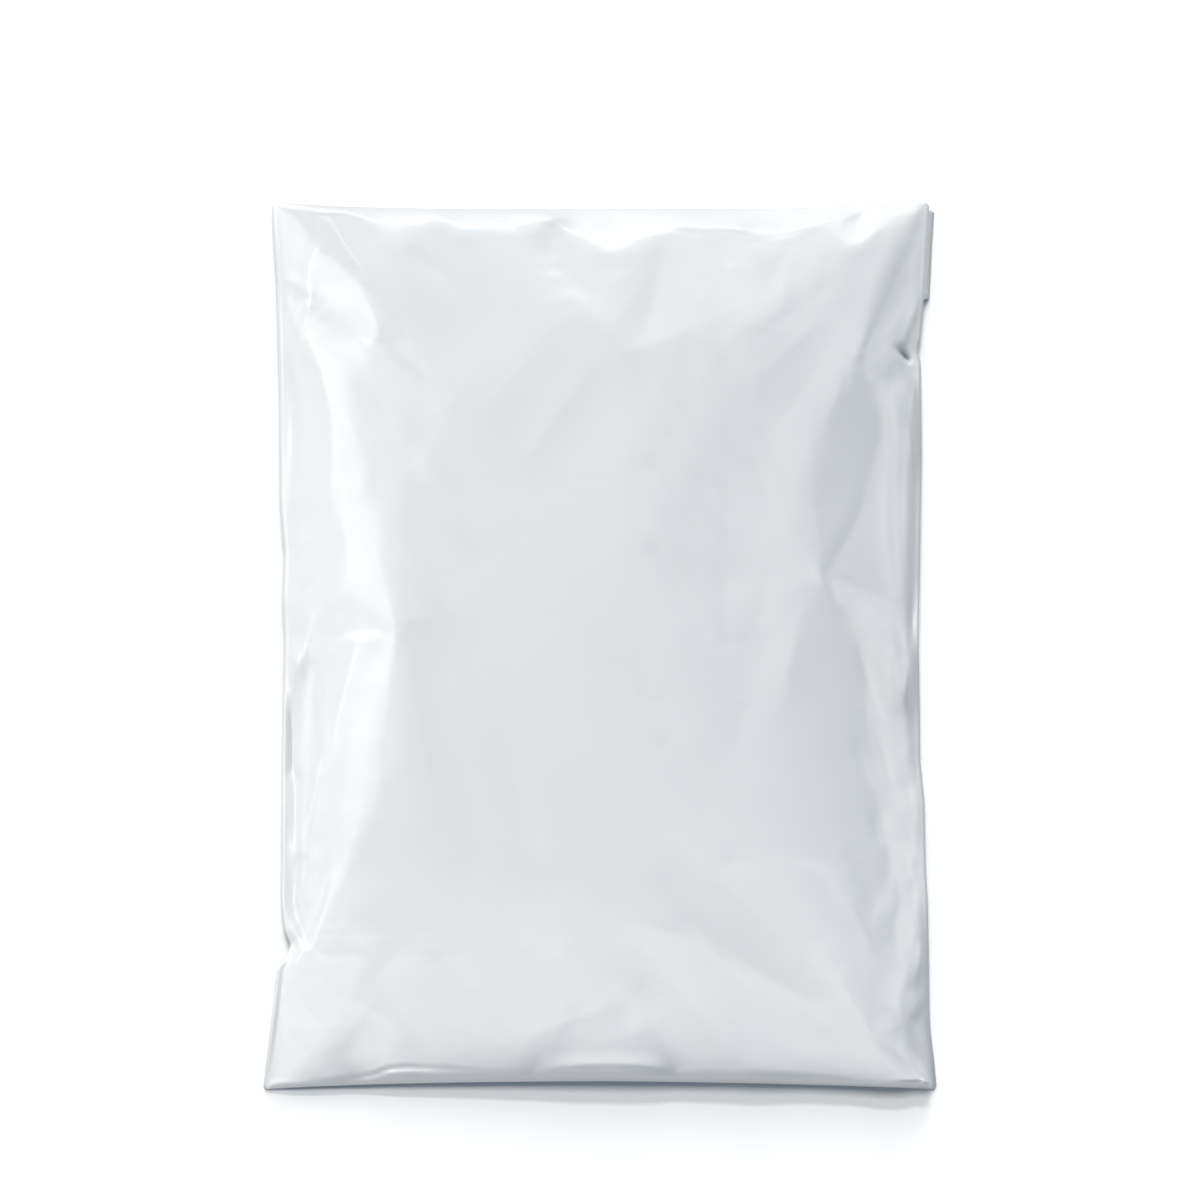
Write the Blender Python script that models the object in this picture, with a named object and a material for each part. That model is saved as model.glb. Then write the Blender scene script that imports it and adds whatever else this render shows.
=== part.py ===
# A filled and sealed poly mailer, lying on its back as it comes to rest.
# Run it with: blender --background --python part.py, or from the Text editor.
# Metres. +X is the bag's right as its front is looked at, +Y runs to the closure end, +Z is up.
# The origin is on the surface under the middle of the bag.
#
# The bag is one web of film: it is folded at the bottom, welded down both sides, and its
# closure flap turns over the top fold and is glued down on the back. Being sealed, it is one solid.
# Every point of the film is found from two fractions: u across the bag, from -1 at the left weld
# to 1 at the right weld, and v along it, from -1 at the bottom fold to 1 at the top fold.

import bmesh
import bpy
import numpy as np

MM = 0.001

# Outline of the filled bag, seen from the front
BAG_LENGTH = 330 * MM  # bottom fold to top fold
BOTTOM_WIDTH = 251 * MM  # across the bottom corners, lips included
TOP_WIDTH = 245 * MM  # across the top corners
WAIST_WIDTH = 237 * MM  # across the middle, where the contents pull the sides in
LEFT_FLARE = 3.0  # how late the welds swing out to the bottom corners
RIGHT_FLARE = 1.7
TOP_FLARE = 3.0
BOTTOM_BOW = 3.9 * MM  # how far each end fold bows in between its corners
TOP_BOW = 2.6 * MM
LEFT_BOW_POWER = 3.0  # how late the bottom fold bends back to its left corner
RIGHT_BOW_POWER = 1.8
TOP_BOW_POWER = 4.0

# Heights above the surface
BOTTOM_CROWN = 39.7 * MM  # front of the bag near the bottom, where the contents settle
TOP_CROWN = 45 * MM  # front of the bag near the closure
DOME = 5.6 * MM  # how much the middle of the front stands over the plateau's edges
RIM_HEIGHT = 17 * MM  # welds and folds, where front and back meet
CORNER_DROOP = 4 * MM  # how much the empty corners hang below the rim
RIM_WAVE = 0.9 * MM  # unevenness of the rim

# How far each slope of the front reaches in from its rim, in mm, at even steps along the rim.
# The sides run from the bottom fold to the top fold, the ends from the left weld to the right.
LEFT_SLOPE = (134, 109, 88, 68, 56, 45, 37, 35, 40, 41, 42, 44, 40, 38, 45, 39, 33)
RIGHT_SLOPE = (60, 72, 82, 97, 104, 108, 111, 109, 104, 106, 102, 89, 78, 71, 81, 101, 108)
BOTTOM_SLOPE = (26, 32, 38, 24, 22, 21, 22, 22, 19, 20, 23, 23, 20, 18, 15, 11, 15)
TOP_SLOPE = (6, 6, 6, 6, 15, 12, 11, 12, 14, 13, 9, 21, 30, 26, 15, 13, 15, 26, 30, 25, 32, 39, 27,
             24, 23)
LEFT_BULGE = 1.7  # roundness of a slope: 1 is straight, more is steeper at the rim
RIGHT_BULGE = 2.3
BOTTOM_BULGE = 7
TOP_BULGE = 4.3

# The back panel
BACK_SIDE_SLOPE = 46 * MM  # from the weld to where the back lies flat
BACK_BOTTOM_SLOPE = 40 * MM
BACK_BULGE = 2.2
BACK_PRESS = 1.6 * MM  # how far the bag's own weight presses the back flat

# Film edges and closure flap
EDGE_THICKNESS = 1.0 * MM  # both films together at a weld or fold
WELD_MARGIN = 1.5 * MM  # flat lip outside each side weld
FLAP_LENGTH = 36 * MM
FLAP_THICKNESS = 0.8 * MM
FLAP_OVERHANG = 2.4 * MM  # how far the flap's end stands out past the right weld
FLAP_CLEARANCE = 22 * MM  # from the flap's edge to where the back panel reaches the surface
CUT_EDGE = 0.4 * MM  # length over which the flap's cut edge steps down to the back panel

# Facets
CELLS_ACROSS = 46
CELLS_ALONG = 60
EDGE_CROWDING = 0.6  # cell size at the rim as a share of the mean

FILM_COLOUR = (0.80, 0.83, 0.86, 1.0)
FILM_ROUGHNESS = 0.3

# Folds in the film. Each has a name, the reach of its slopes in mm on the left and right of its
# path, and the path itself: fractions u and v and the rise in mm. A ridge rises, a valley has a
# minus sign. Paths are read looking at the front, with the closure at the top.
FRONT_FOLDS = (
    ("top left shoulder", (23, 15), ((-0.91, 0.92, -2.1), (-0.78, 0.84, -0.3), (-0.7, 0.76, -0.3),
                                     (-0.69, 0.68, -0.7), (-0.72, 0.62, -0.8))),
    ("left bend", (19, 15), ((-0.97, 0.79, 0.3), (-0.91, 0.71, 5.4), (-0.87, 0.61, 4.5),
                             (-0.84, 0.44, 2.5), (-0.81, 0.29, 2.7), (-0.8, 0.15, 2.1))),
    ("left shoulder upper", (19, 13), ((-0.76, 0.59, 0.2), (-0.72, 0.4, -0.2), (-0.68, 0.23, 0.5),
                                       (-0.61, 0.06, 1.6))),
    ("left dent", (13, 9), ((-0.65, 0.04, -0.6), (-0.75, 0.03, -2), (-0.87, 0.01, -2.1),
                            (-0.95, 0.01, -0.5))),
    ("left shoulder lower", (30, 27), ((-0.65, 0.02, 1), (-0.67, -0.07, 3.8), (-0.66, -0.26, 0.7),
                                       (-0.75, -0.44, 0.8), (-0.84, -0.55, 1.4),
                                       (-0.88, -0.66, 1.7), (-0.97, -0.68, 1.1))),
    ("bottom left dip", (26, 13), ((-0.92, -0.94, -0.5), (-0.82, -0.92, 0), (-0.75, -0.85, 0.4),
                                   (-0.69, -0.79, 0))),
    ("bottom left tuck", (9, 11), ((-0.2, -0.99, -1.3), (-0.2, -0.95, -1.9),
                                   (-0.16, -0.89, -0.3))),
    ("bottom ridge", (28, 22), ((-0.2, -0.89, 1.6), (-0.11, -0.86, 1.7), (0.04, -0.8, 0.9),
                                (0.12, -0.78, -0.2))),
    ("bottom spur", (12, 14), ((-0.05, -0.61, 0.2), (0.03, -0.7, 0.9), (0.12, -0.77, 0.9),
                               (0.13, -0.82, 0.7), (0.12, -0.88, 1.1))),
    ("bottom right tuck", (12, 11), ((0.22, -0.99, -1.3), (0.21, -0.95, -2),
                                     (0.17, -0.87, -0.1))),
    ("bottom right hollow", (15, 21), ((0.17, -0.38, -0.3), (0.15, -0.49, -0.4),
                                       (0.21, -0.57, -1.1), (0.32, -0.65, -1.8),
                                       (0.48, -0.74, -2.4), (0.65, -0.8, -1.5))),
    ("bottom right brow", (10, 10), ((0.19, -0.4, -0.1), (0.33, -0.47, -0.2), (0.5, -0.59, -0.2),
                                     (0.62, -0.72, -0.5))),
    ("right knee", (12, 9), ((0.41, -0.48, -0.3), (0.54, -0.48, -0.1), (0.66, -0.49, 0.2),
                             (0.73, -0.53, 0.9), (0.79, -0.6, 1.7), (0.83, -0.7, 0.2))),
    ("right leaf brow", (23, 23), ((0.78, 0.61, 1.5), (0.7, 0.51, 1.5), (0.66, 0.4, 1.8),
                                   (0.67, 0.29, 1.4), (0.7, 0.15, 1.7))),
    ("right leaf foot", (11, 8), ((0.83, 0.61, -1), (0.89, 0.5, -0.9), (0.86, 0.39, -0.4),
                                  (0.81, 0.27, -0.5), (0.72, 0.16, -0.2))),
    ("right foot", (22, 22), ((0.73, 0.15, -1.1), (0.78, 0.06, -1.4), (0.83, -0.03, -2.4),
                              (0.85, -0.15, -1.2), (0.84, -0.28, -2.2), (0.87, -0.38, -3.1),
                              (0.9, -0.51, -1.9), (0.86, -0.59, -1.4))),
    ("right edge fold", (7, 20), ((0.98, 0.59, 1), (0.98, 0.4, 2.5), (0.96, 0.21, 2),
                                  (0.99, -0.01, 0.3), (0.97, -0.11, 1.7), (0.97, -0.2, 1.2),
                                  (0.99, -0.32, -0.3))),
    ("top right ridge", (7, 10), ((0.82, 0.66, 0.6), (0.88, 0.71, -0.7), (0.92, 0.81, -0.7),
                                  (0.96, 0.89, -0.4), (0.98, 0.98, 0.5))),
    ("top right gutter", (12, 9), ((0.81, 0.69, 1.2), (0.85, 0.77, 0.8), (0.89, 0.86, 1.6),
                                   (0.93, 0.95, 0.3))),
    ("right pinch", (7, 7), ((0.83, 0.65, 0.2), (0.85, 0.62, 0.7), (0.89, 0.6, -0.3),
                             (0.96, 0.62, -0.6), (0.98, 0.66, -0.2))),
    ("right cheek", (7, 7), ((0.82, -0.63, -0.2), (0.87, -0.54, -1.2), (0.91, -0.48, -0.5))),
    ("corner ridge", (11, 8), ((0.99, -0.99, 1.5), (0.89, -0.96, 2.3), (0.81, -0.88, 0.8),
                               (0.8, -0.77, 0), (0.8, -0.67, -0.2))),
    ("corner gutter", (7, 7), ((0.99, -0.97, -1.2), (0.96, -0.87, -1), (0.93, -0.8, -0.7),
                               (0.95, -0.72, 0.1), (0.98, -0.65, 0.9))),
    ("upper right drape", (27, 24), ((0.59, 0.9, -1.1), (0.44, 0.72, 1.1), (0.27, 0.55, 0.1),
                                     (0.15, 0.4, 0))),
    ("upper right swell", (25, 24), ((0.63, 0.86, -0.1), (0.42, 0.76, 0.5), (0.2, 0.7, 0.9),
                                     (0.09, 0.67, 1.3))),
    ("middle drape", (23, 20), ((-0.12, 0.75, 1.7), (-0.29, 0.6, 1.2), (-0.42, 0.49, 0.4),
                                (-0.54, 0.38, 0.6))),
    ("top left hollow", (7, 11), ((-0.96, 0.78, -0.5), (-0.87, 0.73, -1.1), (-0.75, 0.69, -0.7))),
    ("right split low", (7, 7), ((0.99, -0.05, 0.9), (0.95, -0.13, -0.1), (0.96, -0.19, -0.1),
                                 (0.98, -0.25, 0.9), (0.99, -0.31, 0.8), (1, -0.38, 0.8),
                                 (1, -0.5, -0.1))),
    ("right toe a", (7, 7), ((0.83, -0.62, 0.4), (0.87, -0.55, 1.3), (0.9, -0.49, 0.6),
                             (0.92, -0.44, -0.2))),
    ("right toe b", (7, 7), ((0.93, -0.71, 0.3), (0.97, -0.62, 0.8), (0.99, -0.56, 0.1))),
    ("corner pleat", (9, 10), ((0.83, -0.88, 0), (0.93, -0.85, 1.2), (0.93, -0.8, 1.9),
                               (0.95, -0.73, 1.5))),
    ("bottom petal", (10, 9), ((0.1, -0.63, -0.3), (0.27, -0.66, -0.5), (0.36, -0.7, 0),
                               (0.32, -0.77, 0))),
    ("bottom right flute", (12, 9), ((0.17, -0.85, 0.8), (0.2, -0.9, 1.5), (0.25, -0.95, -0.3))),
    ("bottom left flute", (8, 10), ((-0.21, -0.95, 1.1), (-0.16, -0.89, 0.8),
                                    (-0.08, -0.84, -0.6))),
    ("left drape high", (22, 25), ((-0.63, 0.71, -0.9), (-0.49, 0.62, 0.7), (-0.31, 0.48, 0.6))),
    ("mid long swell", (30, 25), ((0.3, 0.78, 1.1), (0.14, 0.51, 0.5), (0.01, 0.28, 0.3))),
    ("right long swell", (30, 30), ((0.51, 0.72, 1.8), (0.44, 0.44, -2.4), (0.4, 0.19, -1.8))),
    ("lower left soft", (19, 16), ((-0.41, 0.19, -0.1), (-0.47, -0.12, 0.2),
                                   (-0.4, -0.48, -0.5))),
    ("gather f", (9, 11), ((-0.16, 0.98, 1.5), (-0.15, 0.96, -0.3), (-0.15, 0.9, -0.5),
                           (-0.15, 0.84, 0.1))),
    ("gather g", (9, 14), ((0.04, 0.99, -1.7), (0.04, 0.95, -1.2), (0.02, 0.91, -1),
                           (0.06, 0.84, 0.1))),
    ("gather i", (14, 13), ((0.54, 0.97, -2.2), (0.51, 0.94, -1), (0.54, 0.91, -1.7),
                            (0.53, 0.84, -0.1))),
    ("gather k", (8, 9), ((0.8, 0.99, -1.6), (0.79, 0.95, -1.6), (0.78, 0.9, 0.1),
                          (0.77, 0.84, 0))),
    ("left dent foot", (10, 7), ((-0.98, 0.02, 0.2), (-0.87, 0.01, 1.1), (-0.75, 0.02, 2.4),
                                 (-0.66, 0.02, 0))),
    ("left edge strip inner", (7, 7), ((-0.95, 0.01, -0.3), (-0.88, -0.03, 0.5),
                                       (-0.87, -0.17, 0.4), (-0.88, -0.35, 0.3),
                                       (-0.9, -0.46, 0))),
    ("left toe ridge", (7, 7), ((-0.78, -0.43, 0.2), (-0.81, -0.49, 0.5), (-0.86, -0.55, 0.1),
                                (-0.92, -0.62, 1), (-0.94, -0.68, 0.4))),
    ("left toe second", (7, 7), ((-0.91, -0.44, 0.1), (-0.93, -0.5, 1), (-0.95, -0.57, 0.7),
                                 (-0.96, -0.64, 0))),
    ("left notch fan", (7, 9), ((-0.96, -0.7, 0.7), (-0.9, -0.68, 0), (-0.79, -0.67, 0.3),
                                (-0.68, -0.66, 0.2))),
    ("top right crest b", (7, 7), ((0.99, 0.78, 0.4), (0.97, 0.74, 0.6), (0.93, 0.7, 0.3),
                                   (0.89, 0.66, 0.1))),
    ("top right hollow a", (7, 7), ((0.93, 0.93, 0), (0.9, 0.87, -0.4), (0.87, 0.8, -0.5),
                                    (0.84, 0.71, 0.1), (0.82, 0.66, 0.2))),
    ("right notch ridge", (7, 7), ((0.83, 0.66, 0), (0.88, 0.68, 0.2), (0.94, 0.66, 1.2),
                                   (1.01, 0.63, 0.2))),
    ("right notch lower", (7, 7), ((0.83, 0.62, 0.1), (0.89, 0.58, 0.6), (0.93, 0.53, 1.2),
                                   (0.94, 0.47, 0.4), (0.95, 0.37, -0.2))),
    ("right low crest", (7, 7), ((0.87, -0.3, 0), (0.92, -0.31, 0.2), (0.96, -0.35, 0.7),
                                 (0.98, -0.4, 0.4))),
    ("corner ridge two", (7, 7), ((0.97, -1, 0.5), (0.91, -0.94, 1), (0.85, -0.9, 1.2),
                                  (0.79, -0.84, 0.8), (0.75, -0.76, 0.4))),
    ("drape one", (12, 17), ((0.16, 0.88, 0), (0.11, 0.78, 0.8), (-0.01, 0.68, 0.5),
                             (-0.14, 0.55, 0.4))),
    ("drape two", (9, 9), ((-0.08, 0.78, -0.2), (-0.18, 0.68, -0.6), (-0.3, 0.58, -0.2),
                           (-0.41, 0.5, -0.1))),
    ("pillow up", (30, 25), ((0.42, 0.6, 0.2), (0.4, 0.37, -0.6), (0.39, 0.19, 0.4),
                             (0.39, 0.01, -1.1))),
    ("petal edge", (7, 7), ((0.17, -0.43, 0.3), (0.15, -0.49, 0.5), (0.17, -0.55, 0.2))),
)

# The back is out of sight in use, and has the plain pleats that the corners of a filled bag pull
BACK_FOLDS = (
    ("bottom left pleat", (9, 9), ((-0.95, -0.96, -0.4), (-0.84, -0.86, -2.0),
                                   (-0.74, -0.76, -0.3))),
    ("bottom right pleat", (9, 9), ((0.95, -0.95, -0.4), (0.85, -0.85, -2.2),
                                    (0.72, -0.77, -0.3))),
    ("left side pleat", (9, 9), ((-0.98, 0.16, -0.5), (-0.88, 0.12, -1.8), (-0.78, 0.14, -0.3))),
    ("right side pleat", (9, 9), ((0.98, -0.22, -0.5), (0.87, -0.25, -1.8),
                                  (0.78, -0.21, -0.3))),
    ("bottom pleat", (8, 8), ((-0.32, -0.98, -0.8), (-0.30, -0.90, -1.5), (-0.31, -0.82, -0.2))),
)

CREST = 1.0 * MM  # radius that keeps a fold's line from being a knife edge

# Nicks, where a fold runs out over the rim: side, v, depth and half length
WELD_NICKS = (
    ("left", -0.70, 3.0 * MM, 7 * MM),
    ("left", 0.25, 0.8 * MM, 6 * MM),
    ("right", 0.66, 1.6 * MM, 5 * MM),
    ("right", -0.60, 0.7 * MM, 9 * MM),
)
NICK_POWER = 10  # how soon a nick dies out inside the weld


def crowded(cells):
    """Fractions from -1 to 1 with smaller steps near both ends."""
    even = np.linspace(-1, 1, cells + 1)
    return EDGE_CROWDING * even + (1 - EDGE_CROWDING) * np.sin(np.pi / 2 * even)


def flap_edge():
    """v of the flap's cut edge."""
    return 1 - 2 * FLAP_LENGTH / BAG_LENGTH


def rows():
    """v of each row of the film, with a close pair on the flap's cut edge."""
    step = CUT_EDGE / BAG_LENGTH
    cut = np.array([flap_edge() - step, flap_edge() + step])
    even = crowded(CELLS_ALONG)
    room = 0.3 / CELLS_ALONG
    even = even[np.abs(even - flap_edge()) > room]
    return np.sort(np.append(even, cut))


def columns():
    """u of each column of the film. The outermost pair is the edge of the weld margins."""
    inner = crowded(CELLS_ACROSS)
    return np.concatenate([[-1], inner, [1]])


def nick(side, v):
    """How far the nicks on one side draw its weld in."""
    depth = np.zeros_like(v)
    for where, at, deep, half in WELD_NICKS:
        if where == side:
            away = (v - at) * BAG_LENGTH / 2 / half
            depth += deep * np.exp(-away * away)
    return depth


def half_width(u, v):
    """Distance from the middle line to the inside of the weld, on the side that u is on."""
    toward_top = (TOP_WIDTH - WAIST_WIDTH) / 2 * np.clip(v, 0, 1) ** TOP_FLARE
    flare = np.where(u < 0, LEFT_FLARE, RIGHT_FLARE)
    toward_bottom = (BOTTOM_WIDTH - WAIST_WIDTH) / 2 * np.clip(-v, 0, 1) ** flare
    return WAIST_WIDTH / 2 + toward_top + toward_bottom - WELD_MARGIN


def margin_width(side, v):
    """Width of the flat lip outside the weld. On the right it holds the end of the flap."""
    lip = np.full_like(v, WELD_MARGIN)
    if side > 0:
        below_fold = (1 - v) * BAG_LENGTH / 2
        flap_end = FLAP_OVERHANG * np.clip(below_fold / (FLAP_LENGTH / 4), 0, 1)
        lip = np.where(v > flap_edge(), WELD_MARGIN + flap_end, lip)
    return lip


def film_place(u, v, margin):
    """X and Y of the film. margin is -1 or 1 on the outer edge of a weld margin, and 0 elsewhere."""
    lip = np.where(margin < 0, margin_width(-1, v), margin_width(1, v)) * margin
    nicks = np.where(u < 0, nick("left", v), -nick("right", v)) * np.abs(u) ** NICK_POWER
    x = u * half_width(u, v) + nicks + lip
    # The corners reach the full length, and the folds bow in between them.
    bottom_power = np.where(u < 0, LEFT_BOW_POWER, RIGHT_BOW_POWER)
    bow = np.where(v < 0, BOTTOM_BOW * (1 - np.abs(u) ** bottom_power),
                   TOP_BOW * (1 - np.abs(u) ** TOP_BOW_POWER))
    y = v * (BAG_LENGTH / 2 - bow * v * v)
    return x, y


def rim_height(u, v):
    """Height of the line where front and back meet."""
    corner = np.abs(u * v) ** 6
    along = v * BAG_LENGTH / 2
    across = u * WAIST_WIDTH / 2
    wave = np.sin(along / (17 * MM) + u) + 0.6 * np.sin(along / (7.3 * MM) + 2 * u)
    wave = wave + 0.8 * np.sin(across / (13 * MM) + v)
    return RIM_HEIGHT - CORNER_DROOP * corner + RIM_WAVE / 2 * wave * (1 - corner)


def rise(distance, slope, bulge):
    """Share of the full height that a panel has reached at a distance from the rim."""
    return 1 - (1 - np.clip(distance / slope, 0, 1)) ** bulge


def from_rims(u, v):
    """Distance to the weld on this side, and to the fold at this end."""
    return (1 - np.abs(u)) * half_width(u, v), (1 - np.abs(v)) * BAG_LENGTH / 2


def along_rim(at, table):
    """Reach of a slope where its rim stands at fraction at, on a smooth curve through the table."""
    values = np.array(table) * MM
    knots = np.linspace(-1, 1, len(values))
    bend = np.gradient(values, knots)
    i = np.clip(np.searchsorted(knots, at) - 1, 0, len(knots) - 2)
    gap = knots[i + 1] - knots[i]
    t = (at - knots[i]) / gap
    return ((2 * t**3 - 3 * t**2 + 1) * values[i] + (t**3 - 2 * t**2 + t) * gap * bend[i]
            + (3 * t**2 - 2 * t**3) * values[i + 1] + (t**3 - t**2) * gap * bend[i + 1])


def front_share(u, v):
    """0 on the rim and 1 on the plateau of the front."""
    from_side, from_end = from_rims(u, v)
    side = np.where(u < 0, along_rim(v, LEFT_SLOPE), along_rim(v, RIGHT_SLOPE))
    end = np.where(v < 0, along_rim(u, BOTTOM_SLOPE), along_rim(u, TOP_SLOPE))
    side_share = rise(from_side, side, np.where(u < 0, LEFT_BULGE, RIGHT_BULGE))
    return side_share * rise(from_end, end, np.where(v < 0, BOTTOM_BULGE, TOP_BULGE))


def back_share(u, v):
    """0 on the rim and 1 where the back lies flat."""
    from_side, from_end = from_rims(u, v)
    end = np.where(v < 0, BACK_BOTTOM_SLOPE, FLAP_LENGTH + FLAP_CLEARANCE)
    return rise(from_side, BACK_SIDE_SLOPE, BACK_BULGE) * rise(from_end, end, BACK_BULGE)


def softened(path):
    """The path with its corners cut twice, so that a fold runs in a curve."""
    points = np.array(path, float)
    for _ in range(2):
        near = 0.75 * points[:-1] + 0.25 * points[1:]
        far = 0.25 * points[:-1] + 0.75 * points[1:]
        inner = np.stack([near, far], axis=1).reshape(-1, points.shape[1])
        points = np.vstack([points[:1], inner, points[-1:]])
    return points


def fold_lift(folds, u, v):
    """How far the folds lift the film."""
    scale = np.array([WAIST_WIDTH / 2, BAG_LENGTH / 2, MM])
    across, along = u * scale[0], v * scale[1]
    total = np.zeros_like(u)
    for _, reach, path in folds:
        points = softened(path) * scale
        nearest = np.full(u.shape, np.inf)
        lift, on_left = np.zeros_like(u), np.zeros(u.shape, bool)
        for start, end in zip(points[:-1], points[1:]):
            run = end - start
            ax, ay = across - start[0], along - start[1]
            share = np.clip((ax * run[0] + ay * run[1]) / (run[0] ** 2 + run[1] ** 2), 0, 1)
            away = np.hypot(ax - share * run[0], ay - share * run[1])
            closer = away < nearest
            nearest = np.where(closer, away, nearest)
            lift = np.where(closer, start[2] + share * run[2], lift)
            on_left = np.where(closer, run[0] * ay - run[1] * ax > 0, on_left)
        span = np.where(on_left, reach[0], reach[1]) * MM
        from_line = np.sqrt(nearest ** 2 + CREST ** 2) - CREST
        total += lift * np.clip(1 - from_line / span, 0, 1) ** 2
    return total


def edge_fade(u, v):
    """0 on the rim and 1 from a few mm inside it, so that folds leave the rim alone."""
    return np.clip(np.minimum(*from_rims(u, v)) / (4 * MM), 0, 1)


def back_height(u, v):
    """Height of the back panel. It lies flat on the surface in the middle."""
    share = back_share(u, v)
    seam = rim_height(u, v) - EDGE_THICKNESS / 2
    height = (seam + BACK_PRESS) * (1 - share) - BACK_PRESS
    # A pleat goes up into the bag, and never below the surface.
    height = height - fold_lift(BACK_FOLDS, u, v) * edge_fade(u, v) * (1 - share)
    flap = np.where(v > flap_edge(), FLAP_THICKNESS, 0)
    return np.maximum(height - flap, 0)


def front_height(u, v):
    """Height of the front panel: slopes up from the rim, a low dome, and the folds."""
    share = front_share(u, v)
    crown = BOTTOM_CROWN + (TOP_CROWN - BOTTOM_CROWN) * (v + 1) / 2
    crown = crown - DOME * (1 - (1 - u * u) * (1 - v * v))
    seam = rim_height(u, v) + EDGE_THICKNESS / 2
    height = seam + (crown - seam) * share
    height = height + fold_lift(FRONT_FOLDS, u, v) * edge_fade(u, v)
    return np.maximum(height, back_height(u, v) + EDGE_THICKNESS)


def film_material():
    """White polythene film."""
    material = bpy.data.materials.new("mailer_film")
    material.use_nodes = True
    shader = material.node_tree.nodes["Principled BSDF"]
    shader.inputs["Base Color"].default_value = FILM_COLOUR
    shader.inputs["Roughness"].default_value = FILM_ROUGHNESS
    shader.inputs["Metallic"].default_value = 0
    material.diffuse_color = FILM_COLOUR
    return material


def flat_web(across, along):
    """A closed flat slab of cells: its upper layer becomes the front and its lower the back."""
    web = bmesh.new()
    bmesh.ops.create_grid(web, x_segments=across, y_segments=along, size=1)
    made = bmesh.ops.extrude_face_region(web, geom=web.faces[:])
    upper = {item for item in made["geom"] if isinstance(item, bmesh.types.BMVert)}
    return web, upper


def mailer_bag():
    """The bag: a flat web of film, filled out to its front and back."""
    u_of, v_of = columns(), rows()
    across, along = len(u_of) - 1, len(v_of) - 1
    web, upper = flat_web(across, along)
    verts = list(web.verts)
    column = np.array([round((vert.co.x + 1) / 2 * across) for vert in verts])
    row = np.array([round((vert.co.y + 1) / 2 * along) for vert in verts])
    is_front = np.array([vert in upper for vert in verts])
    u, v = u_of[column], v_of[row]
    margin = (column == across).astype(float) - (column == 0).astype(float)
    x, y = film_place(u, v, margin)
    x = x - (x.min() + x.max()) / 2
    z = np.where(is_front, front_height(u, v), back_height(u, v))
    for vert, place in zip(verts, zip(x, y, z)):
        vert.co = place
    bmesh.ops.recalc_face_normals(web, faces=web.faces[:])
    mesh = bpy.data.meshes.new("mailer_bag")
    web.to_mesh(mesh)
    web.free()
    mesh.shade_smooth()
    mesh.set_sharp_from_angle(angle=np.radians(50))
    bag = bpy.data.objects.new("mailer_bag", mesh)
    bag.data.materials.append(film_material())
    bpy.context.scene.collection.objects.link(bag)
    return bag


def main():
    for thing in list(bpy.data.objects):
        bpy.data.objects.remove(thing)
    mailer_bag()


main()
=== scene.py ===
import math

import bmesh
import bpy
import numpy as np
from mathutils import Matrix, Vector


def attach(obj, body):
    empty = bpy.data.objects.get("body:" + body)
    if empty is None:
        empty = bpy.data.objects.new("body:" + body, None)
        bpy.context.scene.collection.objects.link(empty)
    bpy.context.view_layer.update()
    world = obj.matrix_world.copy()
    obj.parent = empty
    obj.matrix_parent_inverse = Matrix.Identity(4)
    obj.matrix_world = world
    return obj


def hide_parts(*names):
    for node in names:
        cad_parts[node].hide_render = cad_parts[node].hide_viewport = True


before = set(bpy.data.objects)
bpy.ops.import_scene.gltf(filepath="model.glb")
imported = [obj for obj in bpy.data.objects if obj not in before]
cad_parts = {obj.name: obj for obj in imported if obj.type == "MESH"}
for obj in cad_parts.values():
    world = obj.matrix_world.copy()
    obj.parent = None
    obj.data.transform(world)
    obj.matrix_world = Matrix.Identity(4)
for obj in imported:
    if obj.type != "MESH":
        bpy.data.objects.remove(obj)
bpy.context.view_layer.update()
mm = 0.001
scene = bpy.context.scene


# The filled bag. u runs across it from -1 at the left weld to 1 at the right, and v along it
# from -1 at the bottom fold to 1 at the top fold. Sizes are in mm here, in metres in the mesh.

bag = {
    "length": 330,
    "cellsAcross": 212,
    "cellsAlong": 288,
    "crowding": 0.62,        # cell size at the rim as a share of the mean
    "waist": 118.5,          # half the width that the folds' u is measured in
    "bottomCrown": 41.07,
    "topCrown": 40.1,
    "dome": 5.54,
    "rim": 17,
    "cornerDroop": 4,
    "lowDroop": 12,          # how far the bottom corners hang
    "lowDroopPower": 8,      # how close to the bottom fold the corners start to hang
    "cornerPower": 6,
    "rimWave": 0.9,          # unevenness of the rim
    "longWave": 17,          # its waves along and across the bag
    "shortWave": 7.3,
    "shortShare": 0.6,
    "crossWave": 13,
    "crossShare": 0.8,
    "leftBulge": 1.81,       # roundness of a slope: 1 is straight, more is steeper at the rim
    "rightBulge": 2.46,
    "bottomBulge": 8.19,
    "cornerBulge": 3.38,
    "topBulge": 4.24,
    "backSideSlope": 46,
    "backBottomSlope": 40,
    "backTopSlope": 58,
    "backBulge": 2.2,
    "backPress": 1.6,        # how far the bag's weight presses the back flat
    "lowTuck": 1.2,          # how far the bottom fold is drawn in at its middle
    "tuckRound": 1.6,
    "tuckFade": 24,
    "bottomBow": 2,          # how far the end folds bow in between their corners
    "topBow": 2.6,
    "bowPowers": (3.0, 1.8, 4.0),
    "weldMargin": 1.3,
    "marginRun": 1.3,        # length over which the margin runs out at the corners
    "weldBlur": 0.05,        # how much of the weld's edge the film inside it follows
    "nickBlur": 0.008,
    "nickPower": 10,
    "filmPair": 0.34,        # both films together at a weld or fold
    "crest": 0.55,           # radius along a crease
    "creaseFade": 4,         # length over which creases die out towards the rim
    "flapLength": 36,
    "flapShows": 2.2,        # how far the closure flap stands out past the right weld
    "flapDrop": 8,           # how far its end hangs below the weld
    "flapInset": 3,          # from the top fold to where its end starts
    "weldTurn": 0.3,         # how far the welds' outer edges turn down
    "flapStep": 0.35,        # the flap's edge on the back
}

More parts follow.
